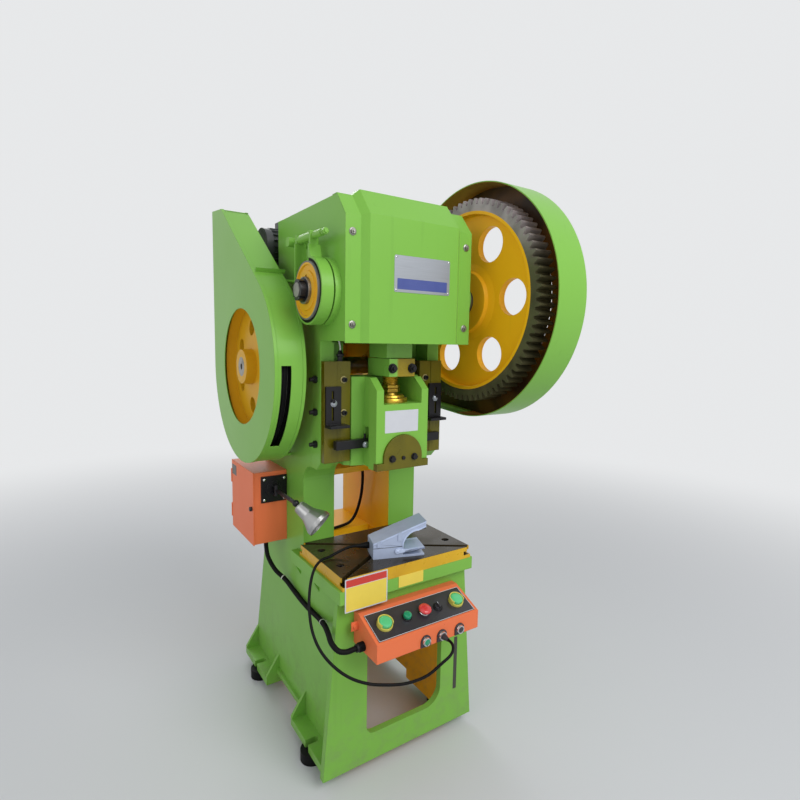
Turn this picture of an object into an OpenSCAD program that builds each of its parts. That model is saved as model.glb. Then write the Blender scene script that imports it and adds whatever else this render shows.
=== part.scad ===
// Open-front stamping press with a one-piece C frame.
// X runs to the machine's right, Y to its back and Z up. The origin lies midway between
// the four foundation slots, at the height of the underside of the feet.

/* [Frame] */
// Width over the side faces of the frame
frame_w = 524; // [480:4:600]
// Clear width between the two columns
column_gap = 260; // [220:4:300]
// Distance from the slide axis back to the column faces
throat = 202; // [180:2:240]
// Distance of the slide axis in front of the foundation slots' centre
axis_ahead = 330; // [310:2:340]
// Height of the bed that carries the bolster
bed_h = 697; // [680:1:760]
// Height of the frame's top above the crankshaft's axis
head_rise = 309; // [300:1:330]
// Thickness of the frame's plates
frame_wall = 25; // [18:1:32]
// Depth of the frame's top, measured behind the slide axis
head_back = 450; // [430:5:470]

/* [Feet] */
// Width over the feet
feet_w = 644; // [620:2:700]
// Thickness of the foot flanges
foot_t = 30; // [20:1:36]
// Distance between front and rear foundation slots
slot_pitch = 584; // [560:2:600]
// Width of a foundation slot
slot_w = 26; // [18:1:34]
// Length of a foundation slot, in from the foot's edge
slot_l = 48; // [40:1:60]
// Height of the rubber pads under the feet
pad_h = 40; // [25:1:60]

/* [Bolster] */
// Width of the bolster plate
bolster_w = 560; // [540:2:600]
// Depth of the bolster plate
bolster_d = 364; // [350:2:366]
// Thickness of the bolster plate
bolster_t = 45; // [40:1:60]
// Width of a T-slot at the surface
tslot_w = 18; // [14:1:22]
// Radius of the bolster's centre hole
drop_r = 50; // [40:1:60]

/* [Slide] */
// Width of the slide's front
slide_w = 224; // [200:2:232]
// Stroke of the slide
stroke = 80; // [60:2:84]
// Distance from the bolster to the slide at the bottom of its stroke
shut_h = 250; // [240:1:260]
// Height of the slide
slide_h = 331; // [320:1:350]
// Radius of the die shank's bore
shank_r = 20; // [15:1:25]
// Depth of the die shank's bore
shank_l = 70; // [60:1:76]
// Gap between the slide and its gibs
guide_gap = 0.4; // [0.3:0.05:0.6]

/* [Crank] */
// Distance from the slide's top up to the crankshaft's axis
rod_l = 293; // [286:1:310]
// Radius of the crankshaft's journals
journal_r = 45; // [38:1:50]
// Radius of the crank pin
pin_r = 48; // [40:1:52]
// Wall of the bronze bushes
bush_t = 8; // [5:0.5:10]
// Radial running clearance of the shafts
run_gap = 0.05; // [0.02:0.01:0.09]

/* [Gears] */
// Module of the gear pair
gear_mod = 10; // [9.8:0.1:10.2]
// Teeth of the main gear
main_teeth = 78; // [76:1:80]
// Teeth of the pinion
pinion_teeth = 22; // [20:1:24]
// Width of the gears' teeth
face_w = 80; // [70:1:86]
// Radius of the round holes in the main gear
gear_hole_r = 68; // [55:1:72]

/* [Flywheel] */
// Radius of the flywheel
fly_r = 343; // [325:1:346]
// Width of the flywheel
fly_w = 88; // [80:1:92]
// Inner radius of the flywheel's rim
fly_rim_r = 242; // [225:1:250]
// Radius of the motor pulley
pulley_r = 60; // [52:1:66]
// Distance between the flywheel guard's rim and the flywheel
guard_gap = 32; // [28:1:36]
// Radius of the round hole in the flywheel's guard
guard_hole_r = 227; // [205:1:232]

/* [Brake] */
// Radius of the brake drum
drum_r = 97; // [88:1:100]
// Width of the brake band
band_w = 42; // [34:1:44]

/* [Electrics] */
// Width of the control box on the base
panel_w = 436; // [410:2:450]
// Height of the control box
panel_h = 118; // [110:1:124]
// How far the control box stands proud of the base
panel_d = 156; // [145:1:165]
// Width of the electric box
box_w = 138; // [120:2:140]
// Depth of the electric box
box_d = 298; // [270:2:310]
// Height of the electric box
box_h = 297; // [270:1:310]
// Length of the foot pedal
pedal_l = 196; // [180:1:210]
// Width of the foot pedal
pedal_w = 92; // [80:1:100]

/* [Hidden] */
$fn = 64;

// Colours
green = "#82b955";
cream_green = "#9cc268";
yellow = "#e2a010";
orange = "#ee7c4e";
steel = "#9a9a94";
oiled = "#7d6b4a";
black = "#2b2a2e";
brass = "#b8923a";
bronze = "#a8772f";
pedal_blue = "#a9b6d2";

// Small gaps and common fastener sizes
gap = 0.3;
seat = 0.1;
far = 3000;
m_bolt = 8;

// Places worked out from the sizes above
half_w = frame_w / 2;
half_gap = column_gap / 2;
axis_y = -axis_ahead;
column_y = axis_y + throat;
column_back = 294;
column_d = column_back - column_y;
base_front = axis_y - 132;
base_back = 441;
front_plate_foot = feet_w / 2 + 13;
front_plate_top = half_w + 18;
bed_t = 47;
bed_under = bed_h - bed_t;
bolster_top = bed_h + bolster_t;
bolster_front = column_y - 3 - bolster_d;
bolster_cy = column_y - 3 - bolster_d / 2;
slide_z = bolster_top + shut_h + stroke;
slide_top = slide_z + slide_h;
crank_z = slide_top + rod_l;
frame_h = crank_z + head_rise;
slide_hw = slide_w / 2;

// Guides: rails of the slide, the gibs round them and the frame's cheeks behind
rail_hw = 150;
rail_tip = 166;
rail_front = axis_y + 40;
rail_back = axis_y + 114;
rail_flat = (rail_back - rail_front) / 2 - rail_tip + rail_hw;
gib_front = axis_y + 26;
gib_back = axis_y + 130;
gib_in = rail_hw + 4;
gib_out = 208;
strip_front = gib_front - 2;
strip_back = axis_y + 50;
guide_z0 = slide_z + 21;
guide_z1 = slide_z + 387;
haunch_z = slide_z - 12;
haunch_r = throat - 130;
cover_z0 = crank_z - 171;
cover_z1 = crank_z + 235;

// Head
head_wall = 45;
head_in = half_w - head_wall;
head_boss = half_w - 82;
head_y1 = axis_y + head_back;
shelf_z = frame_h - 185;
web_z0 = bed_h + 263;
web_z1 = web_z0 + 25;

// Gear train: the pinion lies behind and below the crankshaft
mesh_angle = -33;
centre_dist = gear_mod * (main_teeth + pinion_teeth) / 2 + 0.15;
pinion_y = axis_y + centre_dist * cos(mesh_angle);
pinion_z = crank_z + centre_dist * sin(mesh_angle);
pinion_r = 38;
gear_x0 = half_w + 89;
gear_x1 = gear_x0 + face_w;
gear_root_r = gear_mod * (main_teeth / 2 - 1.25);
gear_web_r = gear_root_r - 25;
gear_boss_r = 118;
gear_hole_at = 243;
gear_holes = 6;
gear_seat_r = journal_r + 5;

// Sides of the frame that carry the shafts
boss_x = half_w + 23;
boss_r = 114;
pinion_boss_r = 76;

// Flywheel and its guard on the left
fly_x0 = -boss_x - 135;
fly_x1 = fly_x0 + fly_w;
guard_r = fly_r + guard_gap + 3;
guard_x0 = fly_x0 - 13;
guard_x1 = guard_x0 + 114;
guard_sheet = 3;
guard_top_front = [pinion_y + 239, pinion_z + 646];
guard_top_back = [pinion_y + guard_r, pinion_z + 660];
guard_joint_z = pinion_z + 354;
motor_y = pinion_y + 180;
motor_z = shelf_z + 100;
motor_r = 88;
motor_x0 = -half_w - 22;
motor_x1 = motor_x0 + 300;

// Gear guard on the right
gear_guard_r = gear_mod * (main_teeth / 2 + 1) + 64;
gear_guard_x0 = gear_x0 + 17;
gear_guard_x1 = gear_guard_x0 + 143;
gear_guard_t = 4;
lobe_r = gear_mod * (pinion_teeth / 2 + 1) + 40;

// Brake at the crankshaft's left end
band_x1 = -boss_x - 5;
band_x0 = band_x1 - band_w;
lining_t = 9;
lining_r = drum_r + lining_t;
band_t = 7;
band_r = lining_r + band_t;
anchor_y = axis_y + 170;
tension_z = crank_z + 182;

// Control box: its sloping face carries the buttons
panel_hw = panel_w / 2;
panel_z0 = bed_under - 165;
panel_front = base_front - panel_d;
panel_lip = 66;
panel_top = panel_z0 + panel_h;
slope_y = panel_front + 128;
slope_z = panel_z0 + panel_lip;
slope_a = atan2(panel_top - slope_z, slope_y - panel_front);
slope_l = norm([slope_y - panel_front, panel_top - slope_z]);
fascia_t = 3;
fascia_hw = panel_hw - 13;
palm_x = 155;
start_x = -64;
stop_x = 11;
select_x = 72;
button_row = 62;

// Electric box on the left side
box_x1 = -half_w;
box_x0 = box_x1 - box_w;
box_y0 = 47;
box_y1 = box_y0 + box_d;
box_z1 = pinion_z - guard_r - 48.6;
box_z0 = box_z1 - box_h;
door_t = 4;
lamp_x = (box_x0 + box_x1) / 2 + 13;
lamp_z = box_z1 - 72;
lamp_pivot_y = box_y0 - 34;

// Foot pedal lying on the bolster
pedal_at = [-114, axis_y - 82];
pedal_turn = -17.9;
pedal_pivot = [92, 26];

// Routes of the cords, each point measured from the piece that the cord passes there
cord_r = 5;
bed_edge = -bolster_w / 2;
function pedal_point(x, y, z) = [pedal_at[0] + x * cos(pedal_turn) - y * sin(pedal_turn),
    pedal_at[1] + x * sin(pedal_turn) + y * cos(pedal_turn), bolster_top + z];
function moved(points, origin) = [for (p = points) origin + p];
cord_beside = [[70, 14, 15], [34, 10, 7], [0, 1, 6], [-32, -15, -9], [-56, -35, -42],
    [-75, -62, -87], [-88, -95, -132], [-94, -135, -176], [-86, -178, -218],
    [-62, -222, -254], [-25, -260, -284]];
cord_ahead = [[-255, -2, -49], [-200, -28, -59], [-146, -52, -61], [-98, -70, -53], [-60, -81, -39],
    [-16.2, -91.7, -9.1], [4.5, -93.1, 0.9], [20.2, -90.4, 8.5], [33.1, -82.2, 14.8],
    [42.5, -69.6, 19.3], [47.4, -53.9, 21.7], [48, -38, 22]];
cord_route = concat([pedal_point(-46, pedal_w - 22, 30), pedal_point(-62, pedal_w - 22, 29.6),
    pedal_point(-82, pedal_w - 22, 26.5)], moved(cord_beside, [bed_edge, axis_y, bolster_top]),
    moved(cord_ahead, [0, panel_front, panel_z0]));
conduit_r = 10;
conduit_down = [[-68, 63, -1], [-68, 63, -45], [-62, 53, -90], [-44, 19, -135], [-18, -27, -165]];
conduit_along = [[-11, 568, 31], [-11, 488, 23], [-11, 403, 21], [-13, 318, 27], [-26, 243, 39],
    [-44, 178, 47], [-54, 133, 39], [-46, 98, 27], [-22, 86, 22]];
conduit_in = [[-42, 86, 22], [-22, 86, 22]];
conduit_route = concat(moved(conduit_down, [-half_w, box_y0, box_z0]),
    moved(conduit_along, [-half_w, panel_front, panel_z0]),
    moved(conduit_in, [-panel_hw, panel_front, panel_z0]));
conduit_end = conduit_route[len(conduit_route) - 1];
throat_r = 7;
throat_points = [[-34, 168, 303], [-34, 168, 261], [-32, 170, 218], [-29, 180, 168], [-30, 192, 118],
    [-38, 200, 73], [-54, 202, 36], [-80, 198, 13.4], [-112, 190, 7.8], [-150, 180, 7.2],
    [-190, 170, 7.4], [-218, 156, 9.4], [-230, 146, -7], [-232, 144, -57]];
throat_route = moved(throat_points, [half_gap, column_y, bed_h]);

// Boxes, bars and sheets laid along the axes
module block(x, y, z) {
    translate([x[0], y[0], z[0]])
        cube([x[1] - x[0], y[1] - y[0], z[1] - z[0]]);
}

module along_x(x0, x1) {
    translate([x0, 0, 0])
        rotate([90, 0, 90])
            linear_extrude(x1 - x0)
                children();
}

module along_y(y0, y1) {
    translate([0, y1, 0])
        rotate([90, 0, 0])
            linear_extrude(y1 - y0)
                children();
}

module bar_x(x0, x1, y, z, r) {
    translate([x0, y, z])
        rotate([0, 90, 0])
            cylinder(h = x1 - x0, r = r);
}

module bar_y(x, y0, y1, z, r) {
    translate([x, y0, z])
        rotate([-90, 0, 0])
            cylinder(h = y1 - y0, r = r);
}

module bar_z(x, y, z0, z1, r) {
    translate([x, y, z0])
        cylinder(h = z1 - z0, r = r);
}

module both_sides() {
    children();
    mirror([1, 0, 0])
        children();
}

// A screw that stands on z = 0 with its head above and its shank below
module hex_bolt(size, shank, washer = true) {
    head_z = washer ? 2.5 : 0;
    if (washer)
        cylinder(h = 2.5, r = size * 1.1);
    translate([0, 0, head_z])
        cylinder(h = size * 0.66, r = size * 0.92, $fn = 6);
    if (shank > 0)
        translate([0, 0, -shank])
            cylinder(h = shank + head_z, r = size / 2);
}

module socket_screw(size, shank) {
    difference() {
        cylinder(h = size, r = size * 0.76);
        translate([0, 0, size / 2])
            cylinder(h = size, r = size * 0.48, $fn = 6);
    }
    translate([0, 0, -shank])
        cylinder(h = shank, r = size / 2);
}

// Points of a tube's rings round a route, and the tube itself
function unit(v) = v / norm(v);
function heading(p, i) = unit(p[min(i + 1, len(p) - 1)] - p[max(i - 1, 0)]);
function side_of(t) = unit(cross(abs(t[2]) > 0.9 ? [0, 1, 0] : [0, 0, 1], t));
function frames(p, i = 0, n = undef) =
    let (t = heading(p, i), m = n == undef ? side_of(t) : unit(n - (n * t) * t))
    i == len(p) - 1 ? [m] : concat([m], frames(p, i + 1, m));

module tube(route, r, sides) {
    n = frames(route);
    rings = [for (i = [0:len(route) - 1]) let (t = heading(route, i), b = cross(t, n[i]))
        for (k = [0:sides - 1]) let (a = 360 * k / sides)
            route[i] + r * (cos(a) * n[i] + sin(a) * b)];
    last = len(route) - 1;
    walls = [for (i = [0:last - 1]) for (k = [0:sides - 1])
        [i * sides + k, i * sides + (k + 1) % sides,
         (i + 1) * sides + (k + 1) % sides, (i + 1) * sides + k]];
    caps = [[for (k = [0:sides - 1]) sides - 1 - k], [for (k = [0:sides - 1]) last * sides + k]];
    polyhedron(points = rings, faces = [for (f = concat(walls, caps)) [for (j = [len(f) - 1:-1:0]) f[j]]]);
}

// Involute gear outline: angle swept and radius along a flank from the base circle
function inv(a) = tan(a) * 180 / PI - a;
function flank(rb, r) = inv(acos(min(1, rb / r)));
function tooth(z, m, play) =
    let (rp = m * z / 2, rb = rp * cos(20), ra = rp + m, rf = rp - 1.25 * m,
         half = 90 / z + flank(rb, rp) - play / rp * 90 / PI,
         rs = max(rb, rf + 0.02 * m),
         radii = [for (i = [0:3]) rs + (ra - rs) * i / 3])
    concat([[rf, -half]], [for (r = radii) [r, flank(rb, r) - half]],
           [for (i = [3:-1:0]) [radii[i], half - flank(rb, radii[i])]], [[rf, half]]);

module gear_outline(z, m, play, turn = 0) {
    one = tooth(z, m, play);
    polygon([for (k = [0:z - 1]) for (p = one)
        p[0] * [cos(p[1] + turn + 360 * k / z), sin(p[1] + turn + 360 * k / z)]]);
}

// Line helpers for outlines made of arcs and tangents
function turned(v) = [-v[1], v[0]];
function meet(p, u, q, v) = p + u * ((q - p) * turned(v)) / (u * turned(v));
function tangent_at(c, r, p, side) =
    let (d = norm(p - c), a = atan2(p[1] - c[1], p[0] - c[0]) + side * acos(r / d))
    c + r * [cos(a), sin(a)];

// Frame outlines, seen from the side
function arc(c, r, a0, a1, n = 8) =
    [for (i = [0:n]) c + r * [cos(a0 + (a1 - a0) * i / n), sin(a0 + (a1 - a0) * i / n)]];

module column_side() {
    polygon(concat(
        [[column_y, bed_h], [column_back, bed_h], [column_back, shelf_z],
         [gib_back + 20, shelf_z], [gib_back + 20, guide_z1 + 66], [gib_back, guide_z1 + 66],
         [gib_back, haunch_z]],
        arc([column_y - haunch_r, haunch_z - haunch_r], haunch_r, 90, 0)));
}

module cheek_side() {
    polygon([[gib_back - 1, haunch_z], [gib_back - 1, guide_z1 + 66],
        [strip_back, guide_z1 + 66], [strip_back, haunch_z + 30], [strip_back + 30, haunch_z]]);
}

module head_side() {
    polygon([[base_front, cover_z0 + 6], [base_front, cover_z1], [base_front + 60, frame_h],
        [head_y1, frame_h], [head_y1, shelf_z], [column_back, shelf_z],
        [column_back, guide_z1 + 40], [strip_back, guide_z1 + 40], [strip_back, cover_z0 + 6]]);
}

module base_side() {
    polygon([[base_front, 0], [base_back, 0], [base_back, 120],
        [column_back, bed_h], [base_front, bed_h]]);
}

module base_hollow() {
    polygon([[base_front - 1, -1], [base_back - frame_wall, -1],
        [base_back - frame_wall, 114], [column_back - frame_wall, bed_under],
        [base_front - 1, bed_under]]);
}

module front_plate() {
    polygon([[-front_plate_foot, 0], [-184, 0], [-180, 11], [178, 11], [182, 0],
        [front_plate_foot, 0], [front_plate_top, bed_under + 1],
        [-front_plate_top, bed_under + 1]]);
}

module front_window() {
    translate([-162, 105])
        difference() {
            square([336, 325]);
            difference() {
                square(35);
                translate([35, 35])
                    circle(35);
            }
            translate([266, 0])
                difference() {
                    square([71, 70]);
                    translate([0, 70])
                        circle(70);
                }
        }
}

module slot_cut(x, y) {
    hull_x = feet_w / 2 - slot_l + slot_w / 2;
    bar_z(x * hull_x, y, -1, foot_t + 1, slot_w / 2);
    block(x > 0 ? [hull_x, far] : [-far, -hull_x], [y - slot_w / 2, y + slot_w / 2], [-1, foot_t + 1]);
}

module feet() {
    both_sides() {
        block([half_w - 60, feet_w / 2], [base_front, -slot_pitch / 2 + 157], [0, foot_t]);
        block([half_w - 60, feet_w / 2], [slot_pitch / 2 - 146, base_back], [0, foot_t]);
        block([half_w - 30, half_w + 12], [-slot_pitch / 2 + 150, slot_pitch / 2 - 140], [42, 64]);
        for (y = [base_back - 14, slot_pitch / 2 - 146, -slot_pitch / 2 + 143])
            along_y(y, y + 14)
                polygon([[half_w - 5, foot_t - 1], [feet_w / 2, foot_t - 1],
                    [feet_w / 2, foot_t + 8], [half_w - 5, foot_t + 108]]);
    }
}

module base() {
    difference() {
        union() {
            along_x(-half_w, half_w)
                base_side();
            along_y(base_front, base_front + frame_wall)
                front_plate();
            block([-bolster_w / 2 - 10, bolster_w / 2 + 10], [bolster_front, column_y + 60],
                [bed_under, bed_h]);
            both_sides()
                for (y = [base_front + 190, column_y + 30])
                    along_y(y, y + 16)
                        polygon([[half_w - 5, bed_under + 1], [half_w - 5, bed_under - 60],
                            [bolster_w / 2 + 2, bed_under - 12], [bolster_w / 2 + 2, bed_under + 1]]);
            feet();
        }
        along_x(-half_w + frame_wall, half_w - frame_wall)
            difference() {
                base_hollow();
                translate([base_front - 1, -1])
                    square([frame_wall + 1, far]);
            }
        along_y(base_front - 1, base_front + frame_wall + 1)
            front_window();
        block([247, 255], [base_front - 1, base_front + frame_wall + 1], [136, 351]);
        along_y(column_back, base_back + 1)
            translate([-120, 130])
                square([240, 300]);
        both_sides()
            block([half_w - frame_wall - 1, half_w + 1],
                [-slot_pitch / 2 + 157, slot_pitch / 2 - 146], [-1, 42]);
        for (x = [-1, 1])
            for (y = [-1, 1])
                slot_cut(x, y * slot_pitch / 2);
        block([-half_gap + 5, half_gap - 5], [bolster_front + 90, 34], [bed_under - 1, bed_h + 1]);
        for (p = bolster_holes())
            bar_z(p[0], p[1], bed_under - 1, bed_h + 1, m_bolt + gap);
    }
}

module shaft_bores() {
    bar_x(-far, far, axis_y, crank_z, journal_r + bush_t + run_gap + seat);
    bar_x(-far, far, pinion_y, pinion_z, pinion_r + bush_t + run_gap + seat);
}

module rounded_window(w, h, r) {
    difference() {
        square([w, h], center = true);
        for (sx = [-1, 1])
            for (sz = [-1, 1])
                translate([sx * (w / 2 - r), sz * (h / 2 - r)])
                    difference() {
                        translate([sx > 0 ? 0 : -r - 1, sz > 0 ? 0 : -r - 1])
                            square(r + 1);
                        circle(r);
                    }
    }
}

module upper_frame() {
    difference() {
        union() {
            both_sides() {
                along_x(half_gap, half_w)
                    column_side();
                along_x(gib_out, half_w)
                    cheek_side();
                along_x(head_in, half_w)
                    head_side();
            }
            along_x(-half_w, half_w)
                polygon([[base_front + 60, frame_h - frame_wall], [base_front + 60, frame_h],
                    [head_y1, frame_h], [head_y1, shelf_z],
                    [column_back, shelf_z], [column_back, shelf_z - frame_wall],
                    [head_y1 - frame_wall, shelf_z - frame_wall],
                    [head_y1 - frame_wall, frame_h - frame_wall]]);
            block([-half_gap - 1, half_gap + 1], [0, column_back], [web_z0, web_z1]);
            along_y(column_back - frame_wall, column_back)
                translate([0, (web_z0 + shelf_z) / 2])
                    difference() {
                        square([column_gap + 2, shelf_z - web_z0 - 2], center = true);
                        translate([0, -90])
                            rounded_window(160, 260, 40);
                    }
            bar_x(-boss_x, -half_w + 1, axis_y, crank_z, boss_r);
            bar_x(half_w - 1, boss_x, axis_y, crank_z, boss_r);
            for (s = [-1, 1])
                bar_x(s > 0 ? head_boss : -half_w + 1, s > 0 ? half_w - 1 : -head_boss,
                    axis_y, crank_z, 92);
            bar_x(-boss_x, -half_w + 1, pinion_y, pinion_z, pinion_boss_r);
            bar_x(half_w - 1, boss_x, pinion_y, pinion_z, pinion_boss_r);
        }
        shaft_bores();
        both_sides() {
            block([half_gap + frame_wall, half_w - frame_wall], [column_y + 28, far],
                [bed_h + 23, pinion_z - 96]);
            for (z = adjuster_rows())
                bar_x(half_w - 80, half_w + 1, adjuster_y(), z, m_bolt + gap);
        }
        for (s = [-1, 1])
            for (z = cover_rows())
                bar_y(s * cover_bolt_x(), base_front - 1, base_front + 30, z, m_bolt / 2 + gap);
        for (s = [-1, 1])
            for (z = gib_rows())
                bar_y(s * gib_screw_x(), gib_back - 1, gib_back + 26, z, 6 + gap);
        bar_z(throat_route[0][0], throat_route[0][1], web_z0 - 1, web_z1 + 1, throat_r + 5);
    }
}

function bolster_holes() = [for (x = [-1, 1]) for (y = [-1, 1])
    [x * (bolster_w / 2 - 44), bolster_cy + y * (bolster_d / 2 - 104)]];
function adjuster_rows() = [slide_z + 83, slide_z + 201, slide_z + 320];
function adjuster_y() = (gib_front + gib_back) / 2 + 6;
function cover_rows() = [cover_z0 + 60, cover_z1 - 52];
function cover_bolt_x() = half_w - 26;
function gib_rows() = [guide_z0 + 60, guide_z0 + 180, guide_z0 + 300];
function gib_screw_x() = (gib_in + gib_out) / 2;

module frame_base() {
    color(green)
        base();
}

// The columns with their guides' cheeks, up to where the head's front steps out
head_z0 = cover_z0 + 3;
module frame_columns() {
    color(green)
        intersection() {
            upper_frame();
            block([-far, far], [-far, far], [bed_h - 1, head_z0]);
        }
}

module frame_head() {
    color(green)
        intersection() {
            upper_frame();
            block([-far, far], [-far, far], [head_z0, far]);
        }
}

// Bolster plate with diagonal T-slots
module bolster_plate() {
    diag = atan2(bolster_d, bolster_w);
    color(oiled)
        difference() {
            block([-bolster_w / 2, bolster_w / 2], [bolster_front, bolster_front + bolster_d],
                [bed_h, bolster_top]);
            bar_z(0, bolster_cy, bed_h - 1, bolster_top + 1, drop_r);
            for (a = [-diag, diag])
                translate([0, bolster_cy, bolster_top])
                    rotate([0, 0, a]) {
                        translate([-far / 2, -tslot_w / 2, -18])
                            cube([far, tslot_w, 20]);
                        translate([-far / 2, -tslot_w, -32])
                            cube([far, tslot_w * 2, 15]);
                    }
            for (p = bolster_holes()) {
                bar_z(p[0], p[1], bolster_top - 20, bolster_top + 1, 15);
                bar_z(p[0], p[1], bed_h - 1, bolster_top, m_bolt + gap);
            }
        }
}

module bolster_bolts() {
    color(black)
        for (p = bolster_holes())
            translate([p[0], p[1], bolster_top - 20])
                socket_screw(m_bolt * 2, bolster_t + 12);
}

// Sheet cover over the crank, a raised middle with bolted flanges
cover_t = 3;
cover_rise = 20;
cover_mid = 183;
cover_bend = 205;

// The cover's profile follows the frame's front and chamfer at a distance t
function cover_line(t) =
    let (d = unit([60, frame_h - cover_z1]), n = [-d[1], d[0]])
    [[base_front - t, cover_z0], [base_front, cover_z1] + t * (n + [-1, 0]) / (1 - n[0]),
     [base_front + 60, frame_h] + t * (n + [0, 1]) / (1 + n[1]), [base_front + 90, frame_h + t]];
function cover_ring(t) = concat(cover_line(t), [for (i = [3:-1:0]) cover_line(t + cover_t)[i]]);

// One flat piece of the bend between the raised middle and a flange
module bend_end(x, t, i) {
    a = cover_ring(t);
    along_x(x, x + 0.5)
        polygon([for (j = [i, i + 1, 6 - i, 7 - i]) a[j]]);
}

module bend(i) {
    hull() {
        bend_end(cover_mid - 0.5, cover_rise, i);
        bend_end(cover_bend, 0, i);
    }
}

module front_cover() {
    color(cream_green)
        difference() {
            union() {
                along_x(-cover_mid, cover_mid)
                    polygon(cover_ring(cover_rise));
                both_sides() {
                    along_x(cover_bend, half_w)
                        polygon(cover_ring(0));
                    for (i = [0:2])
                        bend(i);
                }
            }
            for (s = [-1, 1])
                for (z = cover_rows())
                    bar_y(s * cover_bolt_x(), base_front - cover_t - 1, base_front + 1, z,
                        m_bolt / 2 + gap);
        }
}

module cover_bolts() {
    color(steel)
        for (s = [-1, 1])
            for (z = cover_rows())
                translate([s * cover_bolt_x(), base_front - cover_t, z])
                    rotate([90, 0, 0])
                        hex_bolt(m_bolt, 22);
}

// Gibs with a V groove, their front strips and screws
module gib_section() {
    mid = (rail_front + rail_back) / 2;
    g = guide_gap;
    step = gib_in - rail_hw - 1.41 * g;
    polygon([[gib_in, gib_front], [gib_out, gib_front], [gib_out, gib_back],
        [gib_in, gib_back], [gib_in, rail_back - step],
        [rail_tip + g, mid + rail_flat + 0.41 * g], [rail_tip + g, mid - rail_flat - 0.41 * g],
        [gib_in, rail_front + step]]);
}

module gib() {
    difference() {
        translate([0, 0, guide_z0])
            linear_extrude(guide_z1 - guide_z0)
                gib_section();
        for (z = gib_rows())
            bar_y(gib_screw_x(), gib_front - 1, gib_back + 1, z, 6 + gap);
    }
}

module gib_left() {
    color(oiled)
        mirror([1, 0, 0])
            gib();
}

module gib_right() {
    color(oiled)
        gib();
}

module gib_strips() {
    color(oiled)
        both_sides()
            difference() {
                block([gib_out, half_w - 3], [strip_front, strip_back], [guide_z0, guide_z1]);
                bar_y(stop_bolt_x(), strip_front - 1, strip_back + 1, stop_bolt_z(), m_bolt / 2 + gap);
            }
}

module gib_screws() {
    color(black)
        both_sides()
            for (z = gib_rows())
                translate([gib_screw_x(), gib_front, z])
                    rotate([90, 0, 0])
                        socket_screw(12, gib_back - gib_front + 24);
    color(black)
        both_sides()
            for (z = adjuster_rows()) {
                bar_x(gib_out, half_w + 26, adjuster_y(), z, m_bolt);
                translate([half_w, adjuster_y(), z])
                    rotate([0, 90, 0])
                        difference() {
                            cylinder(h = 11, r = 14, $fn = 6);
                            translate([0, 0, -1])
                                cylinder(h = 13, r = m_bolt + seat);
                        }
            }
}

// Slotted stops that push the knockout bar down
function stop_bolt_x() = 229;
function stop_bolt_z() = slide_z + 246;

module knockout_stops() {
    z0 = slide_z + 152;
    both_sides() {
        color(black)
            difference() {
                union() {
                    block([196, 256], [strip_front - 9, strip_front], [z0, z0 + 146]);
                    block([180, 256], [strip_front - 46, strip_front], [z0, z0 + 10]);
                }
                block([stop_bolt_x() - m_bolt / 2 - gap, stop_bolt_x() + m_bolt / 2 + gap],
                    [strip_front - 10, strip_front + 1], [z0 + 24, z0 + 130]);
            }
        color(steel)
            translate([stop_bolt_x(), strip_front - 9, stop_bolt_z()])
                rotate([90, 0, 0])
                    hex_bolt(m_bolt, 28);
    }
}

// Teardrop outline of the flywheel's guard, drawn in from its outside by inset
module guard_outline(inset) {
    c = [pinion_y, pinion_z];
    r = guard_r - inset;
    full = guard_full();
    u = guard_top_front - full;
    v = guard_top_back - guard_top_front;
    nu = turned(unit(u));
    nv = turned(unit(v));
    f = full - inset * nu;
    t1 = meet(f, u, guard_top_front - inset * nv, v);
    t2 = meet([c[0] + r, c[1]], [0, 1], guard_top_front - inset * nv, v);
    translate(c)
        circle(r, $fn = 96);
    polygon([c, f, t1, t2, [c[0] + r, c[1]]]);
}

module guard_band(x0, x1, outer, inner) {
    along_x(x0, x1)
        difference() {
            guard_outline(outer);
            guard_outline(inner);
        }
}

module guard_cut() {
    u = guard_dir();
    p = guard_lip();
    n = turned(u);
    polygon([p + 12 * n, p - 12 * n, p - 12 * n + far * u, p + 12 * n + far * u]);
}

module guard_front_only() {
    intersection() {
        guard_cut();
        translate([guard_top_front[0] - far, 0])
            square([far - 2, guard_top_front[1] - 2]);
    }
}

function guard_full() = tangent_at([pinion_y, pinion_z], guard_r, guard_top_front, 1);
function guard_dir() = unit(guard_top_front - guard_full());
function guard_lip() = meet(guard_full(), guard_dir(), [0, guard_joint_z], [1, 0]);
function stay_places() = [guard_lip() - 24 * guard_dir() - 16 * turned(guard_dir()),
    [pinion_y + (guard_r - 16) * cos(-60), pinion_z + (guard_r - 16) * sin(-60)],
    [pinion_y + (guard_r - 16) * cos(-104), pinion_z + (guard_r - 16) * sin(-104)]];

module belt_guard() {
    c = [pinion_y, pinion_z];
    color(green)
        difference() {
            union() {
                along_x(guard_x0, guard_x0 + guard_sheet)
                    difference() {
                        guard_outline(0);
                        translate(c)
                            circle(guard_hole_r, $fn = 96);
                    }
                difference() {
                    guard_band(guard_x0, guard_x1, 0, guard_sheet);
                    along_x(guard_x0 + guard_sheet, guard_x1 + 1)
                        guard_front_only();
                }
                guard_band(guard_x0, guard_x0 + 12, -2, 0);
                difference() {
                    guard_band(guard_x1 - 12, guard_x1, -2, 0);
                    along_x(guard_x0 + guard_sheet, guard_x1 + 1)
                        guard_front_only();
                }
                for (p = stay_places())
                    bar_x(guard_x1 - 12, guard_x1, p[0], p[1], 14);
            }
            along_x(guard_x0 + 24, guard_x0 + 60)
                polygon(concat([c], arc(c, guard_r + 60, 177, 228, 6)));
            for (p = stay_places())
                bar_x(guard_x1 - 13, guard_x1 + 1, p[0], p[1], 6 + gap);
        }
}

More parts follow.
